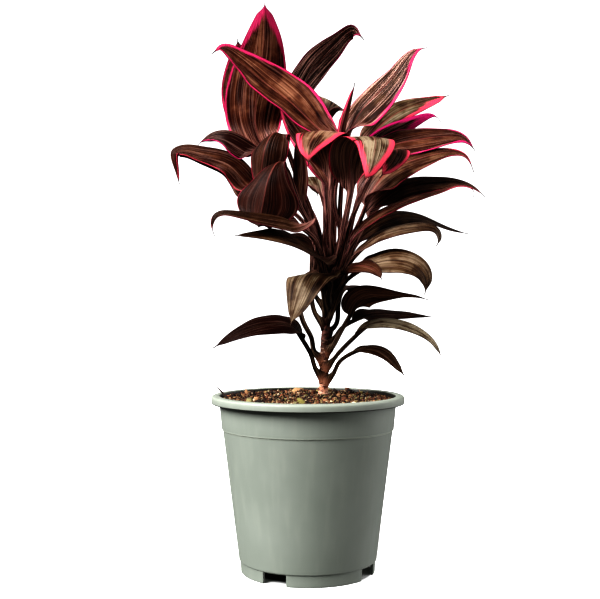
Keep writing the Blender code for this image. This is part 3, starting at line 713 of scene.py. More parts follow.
# %% Table of the leaves
LEAVES = [
    ("right_lowest", 187, 1, 8.5, (30, 30), (8, -12), {},
     [(30, 14, 202), (43, 8, 213), (60, 2, 218), (76, -4, 213), (86, -9, 203), (96, -12, 190)]),
    ("left_low", 191, 1, 14.5, (-42, -30), (8, -12), dict(peak=0.62),
     [(4, 9, 210), (-5, 1, 227), (-15, -7, 240), (-33, -16, 243), (-54, -24, 239), (-75, -30, 230),
      (-91, -34, 220)]),
    ("right_glare", 201, 1, 9.5, (28, 30), (8, -12), dict(peak=0.6),
     [(33, 10, 216), (47, 4, 230.5), (62, -2, 242), (83, -8, 243.5), (104, -12, 237.5), (121, -15, 226),
      (131, -17, 208)]),
    ("back_low_left", 208, 2, 13, (0, 0), (8, -12), dict(heading=88),
     [(4, 20, 226), (-4, 18, 243), (-8, 24, 258), (-6, 50, 269), (-1, 80, 275), (3, 105, 266)]),
    ("right_pink_under", 216, 1, 16, (-60, 0), (12, 12), dict(peak=0.45, taper=0.85),
     [(33, 10, 235), (42, 6, 251), (52, 0, 265.5), (73, -5, 269.5), (94, -9, 269.5), (109, -11, 268.5),
      (119, -11, 266)]),
    ("right_black", 223, 1, 14.5, (28, 15), (5, -12), dict(peak=0.55),
     [(33, 17, 237), (45, 17, 245), (62, 17, 251), (85, 16, 252), (107, 14, 251), (127, 12, 249)]),
    ("back_low_right", 231, 2, 13, (0, 0), (8, -12), dict(heading=85, clock=45),
     [(28, 20, 240), (31, 28, 258), (35, 42, 273), (42, 66, 281), (50, 90, 279), (58, 108, 270)]),
    ("left_strip", 244, 1, 7.5, (55, 45), (6, -10), dict(heading=-150, clock=-165),
     [(7, -10, 331), (-4, -17, 356), (-7, -20, 382), (-8, -21, 401), (-10, -20, 415), (-11, -18, 425)]),
    ("right_drooping", 249, 1, 17.5, (50, 35), (8, -12), {},
     [(37, -13, 285), (47, -18, 293), (65, -22, 301.5), (87, -25, 304.5), (104, -27, 299), (113, -28, 287),
      (112, -28, 271)]),
    ("left_level", 253, 0, 27, (-38, -24), (8, -12), dict(peak=0.5, drip=7),
     [(10, -24, 303), (-5, -56, 318), (-26, -80, 324), (-45, -89, 325), (-66, -92, 324)]),
    ("back_mid", 254, 1, 16, (0, 0), (5, -15), dict(heading=98),
     [(22, 28, 338), (15, 48, 373), (10, 74, 396), (10, 104, 395), (12, 128, 382)]),
    ("right_low_back", 259, 0, 17, (35, 25), (10, -10), dict(peak=0.7, taper=1.1),
     [(42, 15, 310), (59, 22, 333), (81, 30, 346), (102, 36, 351), (126, 40, 347), (147, 42, 339),
      (167, 43, 334)]),
    ("left_hooked", 261, 1, 31.5, (10, -5), (-60, -62), dict(peak=0.48, taper=0.95, drip=7),
     [(0, 10, 338), (-22, 15, 360), (-40, 18, 376), (-54, 20, 395.5), (-68, 21, 410), (-84, 22, 417.5),
      (-106, 22, 421.5), (-127, 21, 422.5), (-137, 20, 417), (-135, 19, 400), (-129, 19, 382)]),
    ("front_folded", 263, 0, 25, (0, 0), (-5, -15), dict(heading=-118, peak=0.56),
     [(21, -20, 285), (11, -34, 291.5), (0, -48, 289.5), (-7, -57, 275), (-12.5, -61, 257),
      (-17, -62, 242)]),
    ("right_mid", 266, 1, 18.5, (42, 30), (10, -8), dict(peak=0.6),
     [(45, 5, 318), (61, 9, 348), (79, 14, 366.5), (103, 17, 379), (133, 19, 383.5), (163, 20, 381.5),
      (179, 20, 370)]),
    ("back_left", 268, 2, 24, (0, 0), (-10, -20), dict(heading=110, peak=1.0),
     [(5, 36, 336), (-25, 66, 382), (-54, 80, 426), (-63, 86, 450), (-68, 86, 486), (-71, 80, 520),
      (-74, 72, 543)]),
    ("right_low_front", 271, 0, 13, (35, 25), (10, -12), dict(clock=-42, peak=1.0, drip=8),
     [(40, -14, 302), (53, -15, 316), (72, -15, 329), (91, -18, 335), (110, -21, 337), (125, -22, 332),
      (127, -22, 325), (124, -22, 318)]),
    ("left_thin_hook", 274, 1, 22, (-10, -10), (-30, -40), dict(peak=0.42, taper=1.1),
     [(8, -30, 321), (-5, -55, 333), (-25, -79, 342), (-51, -90, 345), (-70, -94, 346.5), (-83, -95, 344),
      (-87, -95, 335), (-84, -95, 323)]),
    ("left_black", 275, 2, 25.5, (-15, -5), (-45, -62), dict(peak=0.62),
     [(3, 20, 345), (-19, 26, 384), (-40, 27, 411), (-61, 28, 430), (-82, 30, 439), (-99, 32, 436),
      (-112, 33, 424)]),
    ("right_magenta", 277, 1, 15, (45, 30), (10, -10), dict(peak=0.9, taper=0.75),
     [(43, 15, 338), (53, 23, 377), (61, 32, 407), (74, 39, 430), (97, 44, 444), (118, 46, 454),
      (132, 46, 456), (138, 46, 450)]),
    ("front_small", 278, 0, 14, (40, 10), (5, -15), dict(clock=-77, peak=0.75, drip=6),
     [(34, -20, 292), (43, -34, 298), (53, -48, 298), (63, -58, 293), (68, -64, 285)]),
    ("back_tall", 281, 2, 33, (0, 0), (-12, -14), dict(heading=100, peak=0.75, taper=0.75, drip=12, bare=3),
     [(12, 26, 332), (-12, 46, 380), (-41, 60, 418), (-54, 62, 447), (-53, 62, 481), (-46, 56, 527),
      (-44, 46, 573)]),
    ("right_slender", 284, 0, 11, (30, 15), (5, -10), dict(clock=-40, peak=0.75),
     [(40, -11, 315), (56, -11, 340), (77, -12, 354), (100, -11, 364), (130, -9, 373), (154, -6, 378),
      (163, -5, 373), (163, -5, 367)]),
    ("left_hanging", 286, 2, 34, (0, 0), (-24, -30), dict(heading=-105, peak=2.1, taper=0.75, drip=4),
     [(7, -22, 328), (-8, -36, 355), (-18, -44, 383), (-26, -51, 396), (-35, -60, 384), (-41, -64, 361),
      (-46, -64, 333)]),
    ("back_arching", 288, 2, 28, (20, 20), (0, -22), dict(heading=88, drip=6),
     [(27, 28, 355), (22, 48, 414), (17, 64, 459), (16, 88, 484), (18, 116, 481), (22, 132, 459)]),
    ("right_long", 290, 2, 20, (55, 35), (8, -12), dict(taper=0.75),
     [(42, 9, 336), (53, 14, 376), (64, 17, 405), (81, 19, 420), (107, 20, 427), (137, 21, 431),
      (159, 21, 428), (169, 20, 416)]),
    ("left_hooded", 293, 2, 23, (0, 0), (-22, -38), dict(heading=-115, peak=1.15, taper=0.75),
     [(5, 3, 345), (-9, -2, 382), (-20, -12, 412), (-31, -24, 428), (-39, -34, 417), (-44, -36, 394),
      (-46, -36, 370)]),
    ("front_right_short", 294, 2, 14, (10, 0), (0, -20), dict(heading=-68, clock=-38),
     [(40, -8, 335), (51, -13, 364), (62, -16, 387), (78, -24, 409), (84, -40, 408), (77, -54, 393),
      (66, -62, 379)]),
    ("rear_up_right", 297, 1, 22.5, (-75, -65), (6, 0), dict(peak=1.2, drip=17, bare=10),
     [(18, 28, 350), (14, 40, 398), (-3, 48, 437), (-10, 50, 477), (8, 48, 508), (31.5, 44, 531),
      (48, 40, 541.5), (58, 40, 533)]),
    ("left_rising", 300, 1, 14, (-50, -45), (6, -10), {},
     [(20, 0, 348), (21, -1, 372), (13, 3, 400), (-1, 14, 424), (-16, 28, 446), (-30, 41, 468)]),
    ("right_olive", 300, 2, 16.3, (45, 35), (8, -12), dict(taper=0.7),
     [(38, 22, 342), (47, 34, 388), (57, 47, 423), (76, 59, 448), (100, 67, 466), (127, 71, 476),
      (150, 73, 483)]),
    ("front_right", 303, 1, 24, (0, 0), (-5, -18), dict(heading=-80, peak=0.75, clock=-66),
     [(35, -15, 340), (40, -23, 370), (39, -34, 398), (45, -48, 415), (59, -64, 417), (59, -84, 398),
      (54, -92, 381), (48, -94, 371)]),
    ("right_striped", 308, 2, 21.5, (52, 55), (-18, -20), dict(peak=0.62, taper=1.0, drip=15, bare=10),
     [(32, 10, 344), (34, 11, 386), (39, 12, 426), (48.5, 14, 448.5), (69.3, 15, 472.5), (90.5, 15, 496.5),
      (107.5, 13, 515.5), (120, 13, 518.5)]),
    ("right_broad", 309, 1, 21, (55, 40), (8, -12), dict(peak=0.5, taper=1.2),
     [(46, -2, 334), (57, -3, 359), (68, -1, 381), (88, 2, 398), (116, 5, 408), (141, 7, 413),
      (156, 7, 410), (165, 6, 393)]),
    ("front_left", 312, 1, 24, (0, 0), (-5, -15), dict(heading=-95, peak=0.8),
     [(22, -18, 348), (22, -24, 382), (20, -34, 407), (13, -52, 424), (5, -72, 416), (0, -84, 401),
      (0, -86, 387)]),
    ("left_diagonal", 315, 2, 27.5, (-50, -50), (20, 20), dict(peak=0.86),
     [(22, 7, 344), (26, 9, 381), (30, 7, 412), (10, 9, 437), (-16, 16, 463), (-47, 22, 488),
      (-74, 24, 512), (-88, 23, 519.5), (-97, 21, 514)]),
    ("spear", 318, 1, 7, (0, 0), (50, 60), {},
     [(28, 2, 350), (31, 5, 400), (36, 8, 433), (42, 10, 460), (47, 11, 483)]),
]
YOUNGEST_FROM = 275
print(len(LEAVES), "leaves")

# %% [markdown]
# Colour follows age and light. The youngest leaves carry a wide hot pink margin, the middle ones a thin
# dull one, and the old low leaves none. For each leaf: pink width on its two sides in millimetres, how
# much wider it grows towards the tip, how magenta it is; then how light, how olive and how striped the
# blade is. How light mixes the blade's own tone with painted light and shade for its place in the plant,
# and on some leaves how olive also holds a painted grey-green glare.

# %% Colouring of each leaf
NO_PINK = (0.0, 0.0, 0.0, 0.0)
COLOURING = {
    "right_lowest": (NO_PINK, (0.4, 0.9, 0.3)),
    "left_low": (NO_PINK, (0.05, 0.3, 0.2)),
    "right_glare": (NO_PINK, (1.2, 1.0, 0.3)),
    "back_low_left": (NO_PINK, (0.3, 0.4, 0.3)),
    "right_pink_under": (NO_PINK, (2.6, 0.1, 0.5)),
    "right_black": (NO_PINK, (0.45, 0.5, 0.4)),
    "back_low_right": (NO_PINK, (0.3, 0.4, 0.3)),
    "left_strip": ((1.3, 1.3, 0.3, 0.2), (0.7, 0.3, 0.7)),
    "right_drooping": (NO_PINK, (0.85, 0.8, 0.3)),
    "left_level": ((0.5, 0.0, 0.0, 0.1), (0.55, 0.8, 0.4)),
    "back_mid": ((0.4, 0.4, 0.5, 0.3), (1.6, 0.9, 0.5)),
    "right_low_back": ((0.2, 0.2, 0.2, 0.3), (0.6, 0.75, 0.5)),
    "left_hooked": ((0.9, 0.9, 0.3, 0.1), (0.5, 0.35, 0.4)),
    "front_folded": (NO_PINK, (0.85, 0.9, 0.3)),
    "right_mid": ((0.8, 0.3, 0.6, 0.2), (0.6, 0.6, 0.5)),
    "back_left": ((2.0, 2.0, 0.8, 0.5), (1.1, 0.2, 0.4)),
    "right_low_front": ((0.2, 0.2, 0.2, 0.3), (0.9, 0.75, 0.5)),
    "left_thin_hook": ((1.2, 0.3, 0.3, 0.2), (0.4, 0.75, 0.4)),
    "left_black": ((0.6, 1.0, 0.3, 0.8), (0.12, 0.1, 0.4)),
    "right_magenta": ((5.0, 4.2, 2.4, 1.0), (0.1, 0.1, 0.9)),
    "front_small": (NO_PINK, (0.5, 0.4, 0.3)),
    "back_tall": ((2.2, 2.0, 3.8, 0.6), (0.85, 0.1, 0.4)),
    "right_slender": ((0.8, 0.8, 0.8, 0.2), (0.7, 0.3, 0.6)),
    "left_hanging": ((0.5, 0.5, 0.2, 0.2), (0.26, 0.25, 0.15)),
    "back_arching": ((0.9, 0.9, 0.5, 0.4), (1.2, 0.9, 0.5)),
    "right_long": ((1.2, 1.2, 2.6, 0.8), (0.55, 0.3, 0.5)),
    "left_hooded": ((0.9, 0.9, 0.3, 0.2), (0.32, 0.5, 0.25)),
    "front_right_short": ((3.2, 3.2, 0.4, 0.1), (0.6, 0.4, 0.4)),
    "rear_up_right": ((1.5, 3.0, 1.0, 0.8), (0.16, 0.0, 3.4)),
    "left_rising": ((0.8, 2.4, 0.5, 0.35), (0.85, 0.1, 0.8)),
    "right_olive": ((3.4, 0.6, 3.0, 0.1), (0.85, 1.0, 0.3)),
    "front_right": ((5.0, 5.0, 0.0, 0.05), (1.4, 0.9, 0.5)),
    "right_striped": ((2.6, 0.8, 0.3, 0.6), (0.50, 0.6, 2.2)),
    "right_broad": ((0.7, 1.3, 0.6, 0.2), (0.7, 0.5, 0.5)),
    "front_left": ((5.0, 5.0, 0.0, 0.05), (1.25, 0.5, 0.5)),
    "left_diagonal": ((2.6, 2.4, 0.2, 0.6), (0.85, 0.2, 0.2)),
    "spear": ((1.6, 1.6, 0.5, 0.3), (1.0, 0.15, 0.8)),
}
print(sum(pink != NO_PINK for pink, _ in COLOURING.values()), "leaves with a pink margin")

# %% [markdown]
# The sheet below is the same for all leaves. Rows run along the midrib and columns across it. Columns
# crowd at the rib, for its groove, and at the margin, for a crisp pink edge. The blade is worked out as
# two faces, upper and lower, about half a millimetre apart and thicker at the rib.

# %% Sections of a leaf
SHEATH_DROP = 9.0
SHEATH_LENGTH = 20.0
SHEATH_WRAP = 105.0
SHEATH_CLIMB = 5.0
FOOT_SUNK = 0.25
KNEE_OUT = 3.0
KNEE_UP = 5.0
SEAT_CLEARANCE = 2.6
STALK_HALF = 2.4
STALK_THICK = 2.6
STALK_EDGE = 0.9
STALK_CHANNEL = (25, 60)
RIB_THICK = 1.5
BLADE_EDGE = 0.45
TIP_HALF = 0.42
VEIN_SPREAD = 1.15
VEIN_SLANT = 0.085
DRIP_LENGTH = 13.0
STALK_ROWS = 30
ROW_CROWDING = 1.15
BLADE_ROWS = 84
HALF_ACROSS = np.array(
    [0.0, 0.02, 0.05, 0.09, 0.14, 0.2, 0.28, 0.37, 0.47, 0.57, 0.67, 0.76, 0.84, 0.91, 0.96, 0.985, 1.0]
)
ACROSS = np.concatenate([-HALF_ACROSS[:0:-1], HALF_ACROSS])
OUTWARD = np.abs(ACROSS)[None]
HAND = np.sign(ACROSS)[None]
NEARLY_FLAT = 0.0001


def midrib_of(height, midrib, clock):
    """The leaf's whole line: down the cane for its sheath, out from it over a knee, then the midrib."""
    centre, radius = cane_at(float(height))
    out = (np.array(midrib[0], float) - centre) * [1, 1, 0]
    if clock is not None:
        out = compass(clock)
    out /= np.linalg.norm(out)
    low_centre, low_radius = cane_at(height - SHEATH_DROP)
    foot = low_centre + out * (low_radius + FOOT_SUNK)
    start = centre + out * (radius + SEAT_CLEARANCE)
    knee = start + out * KNEE_OUT + [0, 0, KNEE_UP]
    return [foot, start, knee, *midrib], out


def axes_along(read, stations, heading):
    """Directions sideways and up at each station: square to the line, and sideways as level as it can be."""
    along = read(np.clip(stations + 0.001, 0, 1)) - read(np.clip(stations - 0.001, 0, 1))
    along /= np.linalg.norm(along, axis=1)[:, None]
    level = np.cross([0, 0, 1], heading)
    side = level - (along @ level)[:, None] * along
    side /= np.linalg.norm(side, axis=1)[:, None]
    return side, np.cross(along, side)


def rolled(side, up, angle):
    """The same two directions, turned about the midrib."""
    cosine, sine = np.cos(angle)[:, None], np.sin(angle)[:, None]
    return cosine * side + sine * up, cosine * up - sine * side


def arc_section(width, at_rib, at_margin):
    """Reach, rise and angle across an arc of a given half width that turns from one angle to another."""
    turning = at_margin - at_rib
    turning = np.where(np.abs(turning) < NEARLY_FLAT, NEARLY_FLAT, turning)
    angle = at_rib + turning * OUTWARD
    reach = HAND * width * (np.sin(angle) - np.sin(at_rib)) / turning
    rise = width * (np.cos(at_rib) - np.cos(angle)) / turning
    return reach, rise, angle


print(f"{STALK_ROWS + BLADE_ROWS} rows of {len(ACROSS)} points for each face")

# %% [markdown]
# Nature adds what a clean formula leaves out: margins that ripple a little, each leaf in its own way,
# a groove along the midrib above and a keel under it, and a slender drip tip.

# %% Width, ripples and thickness
PEAK = 0.8
TAPER = 0.9
RIPPLE = 0.028
GROOVE_DEPTH = 0.42


def half_widths(t, to_tip, half_width, special):
    """A sine that swells and tapers over the blade, slim at the drip tip, at least as wide as the stalk."""
    peak, taper = special.get("peak", PEAK), special.get("taper", TAPER)
    swell = half_width * np.clip(np.sin(np.pi * t**peak), 0, 1) ** taper
    swell = swell * (0.12 + 0.88 * smooth_step(to_tip / special.get("drip", DRIP_LENGTH)))
    slim = smooth_step(5 * t)
    return np.maximum(swell, STALK_HALF * (1 - slim) + TIP_HALF * slim)


def ripples(draw, from_foot, width):
    """Two waves along each side, of its own phases, that grow with the width and towards the margin."""
    phase = draw.uniform(0, 2 * math.pi, (4, 1))
    wave = from_foot[:, None] / draw.uniform(9, 13)
    ripple = np.where(HAND < 0, np.sin(wave + phase[0]), np.sin(wave * 1.13 + phase[1]))
    ripple = ripple + 0.5 * np.where(HAND < 0, np.sin(2.3 * wave + phase[2]), np.sin(2.1 * wave + phase[3]))
    return ripple * RIPPLE * width * OUTWARD**2.4


def thickness(t, from_foot, width, rib, opened):
    """On the blade a thin sheet with a keel under the rib, on the stalk a plump section, and a thin foot."""
    thick_rib = STALK_THICK * (1 - opened) + (RIB_THICK * (1 - t) + 0.5) * opened
    thick_edge = STALK_EDGE * (1 - opened) + BLADE_EDGE * opened
    keel = np.exp(-((rib / (0.7 + 1.3 * (1 - t))) ** 2))
    ridged = thick_edge + (thick_rib - thick_edge) * keel
    full = thick_edge + (thick_rib - thick_edge) * (1 - OUTWARD) ** 1.5
    thick = ridged * opened + full * (1 - opened)
    thick = np.minimum(thick, np.maximum(1.6 * width, 0.35))
    return thick * (0.2 + 0.8 * smooth_step(from_foot / 10))[:, None]


# %% [markdown]
# A leaf is put together from its line, the turn of its sections, their arcs and the two faces, each for
# all rows at once. The leaves differ by their entries in the tables and by the draw of their ripples, so
# all of them share this code.

# %% The whole leaf
def leaf_grids(entry, draw):
    """Upper and lower points of one leaf, and what its material reads at each of them."""
    _, height, blade_from, half_width, roll, lift, special, midrib = entry
    points, out = midrib_of(height, midrib, special.get("clock"))
    read, marks, length = through(points)
    blade = marks[blade_from + 3]
    stalk_rows = np.linspace(0, 1, STALK_ROWS, endpoint=False) ** ROW_CROWDING * blade
    stations = np.concatenate([stalk_rows, np.linspace(blade, 1, BLADE_ROWS)])
    t = np.clip((stations - blade) / (1 - blade), 0, 1)
    from_foot = stations * length
    to_tip = (1 - stations) * length

    # The sheath faces away from the cane, and the section swings round to the blade's own heading.
    heading = np.subtract(points[-1], points[1]) * [1, 1, 0]
    if "heading" in special:
        heading = compass(special["heading"])
    heading /= np.linalg.norm(heading)
    side, up = axes_along(read, stations, heading)
    turn = np.radians(roll[0] + (roll[1] - roll[0]) * t) * smooth_step(4 * t + 0.25)
    swing = math.atan2(out[1], out[0]) - math.atan2(heading[1], heading[0])
    swing = (swing + math.pi) % (2 * math.pi) - math.pi
    turn = turn + swing * (1 - smooth_step(from_foot / (0.8 * blade * length)))
    side, up = rolled(side, up, turn)

    # From the foot to the tip, the arc changes from a clasping sheath to a channel to an open blade.
    width = half_widths(t, to_tip, half_width, special)
    clasp = 1 - smooth_step(from_foot / SHEATH_LENGTH)
    wrap = math.radians(SHEATH_WRAP) * (cane_at(float(height))[1] + 0.4 + 1.2 * smooth_step(from_foot / 12))
    width = (width + (wrap - width) * clasp)[:, None]
    t, clasp = t[:, None], clasp[:, None]
    opened = smooth_step(4 * t)
    at_rib = np.radians((STALK_CHANNEL[0] * (1 - opened) + lift[0] * opened) * (1 - clasp))
    at_margin = np.radians(STALK_CHANNEL[1] * (1 - opened) + lift[1] * opened)
    at_margin = at_margin + (math.radians(SHEATH_WRAP) - at_margin) * clasp
    reach, rise, angle = arc_section(width, at_rib, at_margin)

    # Each point of the upper face stands off the arc by the relief, and the lower face by the thickness.
    rib = OUTWARD * width
    lean = np.where(OUTWARD > 0, -np.sin(angle) * HAND, 0.0)
    stand = np.where(OUTWARD > 0, np.cos(angle), 1.0)
    face = side[:, None] * lean[..., None] + up[:, None] * stand[..., None]
    groove = GROOVE_DEPTH * np.exp(-((rib / (0.35 + 0.9 * (1 - t))) ** 2)) * opened * (1 - t)
    relief = ripples(draw, from_foot, width) * opened - groove
    place = reach[..., None] * side[:, None] + rise[..., None] * up[:, None]
    top = read(stations)[:, None] + place + face * relief[..., None]
    top[..., 2] += SHEATH_CLIMB * OUTWARD**1.4 * (1 - smooth_step(from_foot / 14))[:, None]
    low = top - face * thickness(t, from_foot, width, rib, opened)[..., None]

    blade_length = (1 - blade) * length
    return top, low, dict(
        t=t,
        stalk=1 - opened,
        rib=rib,
        margin=width * (1 - OUTWARD),
        across=ACROSS[None],
        vein=OUTWARD * half_width * VEIN_SPREAD - VEIN_SLANT * t * blade_length,
        along=from_foot[:, None],
        drip=to_tip[:, None] / special.get("bare", DRIP_LENGTH),
    )


# %% [markdown]
# Each ring of the mesh runs over the upper face and back under the lower one, so that a leaf is one closed
# skin. What its finish has to know of a point, such as how far it is from the margin, is kept in the mesh
# as attributes, so that veins and margins follow each blade however it bends.

# %% The leaf as a mesh
def leaf_faces(rows, columns):
    """The closed skin: rings of upper then lower points, and a strip of quads over each end."""
    ring = 2 * columns
    skin = grid_faces(rows, ring)
    here = np.arange(columns - 1)
    first = np.column_stack([here, here + 1, ring - 2 - here, ring - 1 - here])
    last = first[:, ::-1] + (rows - 1) * ring
    return np.concatenate([skin, first, last])


def write_vector(mesh, name, x, y, z):
    """Three numbers a point, kept together as one vector attribute."""
    count = len(mesh.vertices)
    vector = np.stack([np.broadcast_to(np.ravel(number), count) for number in (x, y, z)], axis=-1)
    mesh.attributes.new(name, "FLOAT_VECTOR", "POINT").data.foreach_set("vector", vector.ravel())


def add_leaf(entry, finishes, draw):
    """A closed mesh of one leaf, with all that its finish reads written to its points."""
    name, height = entry[0], entry[1]
    top, low, notes = leaf_grids(entry, draw)
    rows, columns, _ = top.shape
    points = np.concatenate([top, low[:, ::-1]], axis=1).reshape(-1, 3)
    mesh = make_mesh(f"{name}_leaf", points, leaf_faces(rows, columns))

    def both(values):
        """Values of the upper face, and the same mirrored for the lower one."""
        values = np.broadcast_to(values, (rows, columns))
        return np.concatenate([values, values[:, ::-1]], axis=1)

    notes = {key: both(values) for key, values in notes.items()}
    (left, right, more, magenta), body = COLOURING[name]
    t, across = notes["t"], notes["across"]
    wide = np.where(across < 0, left, right)
    wide = wide * (0.45 + 0.55 * smooth_step(4 * t)) * (1 + more * smooth_step((t - 0.6) / 0.4))
    under = np.concatenate([np.zeros((rows, columns)), np.ones((rows, columns))], axis=1)
    write_vector(mesh, "vein_place", notes["vein"], notes["along"], np.sign(across) * 0.5 + under)
    write_vector(mesh, "edge", notes["margin"], wide, magenta)
    write_vector(mesh, "body", *body)
    write_vector(mesh, "part", notes["stalk"], notes["rib"], under)
    write_vector(mesh, "ends", t, notes["drip"], 0.0)
    slot = "leaf_young" if height >= YOUNGEST_FROM else "leaf_old"
    add_piece(f"{name}_leaf", mesh, finishes[slot], f"leaf_{name}")
    return len(mesh.polygons)


# %% [markdown]
# One recipe makes the finish of all leaves. The veins are nearly parallel: they leave the rib at a
# narrow angle and run out to the margin near the tip. The mesh stores which vein a point lies on and how
# far along it is, and noise stretched along the veins gives streaks. Over that come the lighter underside,
# pale veins and rib, and a pink margin whose inner edge is frayed along the veins. The stalks are streaked
# with painted light and painted shade, dark low in the plant and pink above. Their sheaths turn to bark at
# the foot, bark-brown near the soil and nearly black higher up, which is painted shade as on the cane.

# %% Leaf finish
RED_BLADE = [(0.0, (0.0080, 0.0012, 0.0010)), (0.3, (0.044, 0.0075, 0.0040)),
             (0.6, (0.136, 0.0410, 0.0210)), (1.0, (0.34, 0.142, 0.080))]
GREEN_BLADE = [(0.0, (0.0075, 0.0034, 0.0018)), (0.3, (0.036, 0.0175, 0.0075)),
               (0.6, (0.110, 0.073, 0.0390)), (1.0, (0.30, 0.250, 0.175))]
STALKS_PINKEN = (270.0, 340.0)
SHEATHS_BROWN = (224.0, 205.0)


def leaf_finish(name, gloss, rib_colour):
    """Streaks pick the blade's colour from two rows of stops, and the layers at the end lie over it."""
    finish = Finish(name)
    vein, along, hand = finish.parts(finish.vector("vein_place"))
    margin, wide, magenta = finish.parts(finish.vector("edge"))
    # light carries each leaf's own tone together with painted light and shade, olive also a painted glare
    light, olive, striped = finish.parts(finish.vector("body"))
    stalk, rib, under = finish.parts(finish.vector("part"))
    tipward, drip, _ = finish.parts(finish.vector("ends"))

    def streaks(across, lengthwise, side, shift, *detail):
        """Noise stretched along the veins, another one on each side and face of the leaf."""
        place = finish.join(vein * across, along * lengthwise, hand * side + shift)
        return finish.noise(place, 1.0, *detail)

    band = streaks(0.13, 0.014, 9.0, 0.0, 2.0)
    streak = streaks(0.42, 0.010, 5.0, 3.0, 3.0, 0.6)
    fine = streaks(1.5, 0.016, 3.0, 7.0, 2.0)
    fray = streaks(0.60, 0.022, 5.0, 1.0, 3.0, 0.75)
    mottle = finish.noise(finish.place(), 55.0, 3.0, 0.55)

    bright = finish.step(band, 0.36, 0.62) * 0.36 + finish.step(streak, 0.36, 0.64) * 0.36
    bright = light * (bright + finish.step(mottle, 0.38, 0.62) * 0.34) * 1.12 + 0.02
    back = finish.blend(finish.step(streak, 0.35, 0.7), (0.085, 0.038, 0.024), (0.33, 0.175, 0.115))
    deep = finish.step(margin, 10.0, 2.0) * finish.step(wide, 0.5, 1.5) * (1 - stalk)
    thread = finish.step(streak, 0.61, 0.67) * 0.4 + finish.step(fine, 0.59, 0.64) * 0.6
    pale = thread * striped * (1 - finish.step(margin, 1.5, 0.0))
    ribbed = finish.step(rib, 1.1, 0.4) * (1 - tipward)

    inner = wide * (1 - under * 0.7) * (fray * 3.0 - 0.5)
    soft = wide * 0.22 + 0.15
    pink = finish.step(inner - margin, 0 - soft, soft) * finish.step(wide, 0.05, 0.4)
    pink = pink * finish.step(drip, 0.25, 0.75)
    coral = finish.blend(fray, (0.48, 0.016, 0.052), (0.84, 0.130, 0.175))
    purple = finish.blend(fray, (0.35, 0.006, 0.098), (0.80, 0.036, 0.250))
    dark_edge = finish.step(margin, 0.9, 0.3) * (1 - stalk)

    high = finish.by_height(*STALKS_PINKEN)
    # painted light on the stalk: a groove noise mixes a shaded and a lit colour in streaks
    shade = finish.blend(high, (0.014, 0.008, 0.006), (0.026, 0.009, 0.009))
    lit = finish.blend(high, (0.120, 0.079, 0.050), (0.56, 0.28, 0.235))
    groove = finish.noise(finish.join(hand * 4.0, rib * 1.3, along * 0.03), 1.0, 3.0, 0.6)
    # painted shade: the sheath's bark is nearly black higher up and brown near the soil, as on the cane
    bark = finish.blend(finish.by_height(*SHEATHS_BROWN), (0.028, 0.012, 0.009), (0.42, 0.195, 0.125))

    base = finish.layered(
        finish.blend(olive, finish.ramp(bright, RED_BLADE), finish.ramp(bright, GREEN_BLADE)),
        (under * light, back),
        (finish.step(fine, 0.54, 0.34) * 0.6, (0.007, 0.0022, 0.0014)),
        (deep * 0.7, (0.034, 0.0045, 0.0045)),
        (pale * 0.7, (0.74, 0.45, 0.37)),
        (ribbed * 0.7, rib_colour),
        (pink, finish.blend(magenta, coral, purple)),
        (dark_edge * 0.75, (0.020, 0.004, 0.005)),
        (stalk * 0.94, finish.blend(finish.step(groove, 0.45, 0.60), shade, lit)),
        (finish.step(along, 13.0, 1.0), bark),
    )
    rough = gloss + streak * 0.14 + under * 0.12
    bump = finish.bump(fine * 0.6 + streak * 1.8, 0.6, 0.0007)
    return finish.surface(Base_Color=base, Roughness=rough, Normal=bump, Specular_IOR_Level=0.12)


finishes = {
    "leaf_young": leaf_finish("young_leaf", 0.34, (0.34, 0.105, 0.085)),
    "leaf_old": leaf_finish("old_leaf", 0.36, (0.060, 0.032, 0.020)),
}
leaf_draw = np.random.default_rng(37)
leaf_total = sum(add_leaf(entry, finishes, leaf_draw) for entry in LEAVES)
print("leaf faces", leaf_total)

# %% [markdown]
# Potting mix is peat, bark and fibre. The bed itself is a height field: level ground, a mound round the
# cane, a bank by the wall and low waves. It closes into a drum, because it stands for a solid block.

# %% Bed of soil
SOIL_LEVEL = 166.8
MOUND_HEIGHT = 4.4
MOUND_SPREAD = 38.0
BANK_HEIGHT = 2.4
BANK_SIDE = math.radians(135)
SOIL_EDGE = float(wall_outside(SOIL_LEVEL)) - WALL - 0.2
SOIL_CLEARANCE = 0.3


def soil_height(x, y):
    """Level ground, a mound round the cane, a bank by the wall, highest back left, and waves of lumps."""
    away = np.hypot(x - CANE_LINE[0, 1], y - CANE_LINE[0, 2])
    mound = MOUND_HEIGHT * np.exp(-((away / MOUND_SPREAD) ** 2))
    lumps = 0.7 * np.sin(x / 5.1 + 1.3) * np.sin(y / 4.3)
    lumps = lumps + 0.5 * np.sin(x / 2.7 + y / 3.3) * np.sin(y / 2.2 - x / 4.1)
    bank = BANK_HEIGHT * smooth_step((np.hypot(x, y) - 45) / 40)
    bank = bank * (0.6 + 0.4 * np.cos(np.arctan2(y, x) - BANK_SIDE))
    return SOIL_LEVEL + mound + bank + lumps


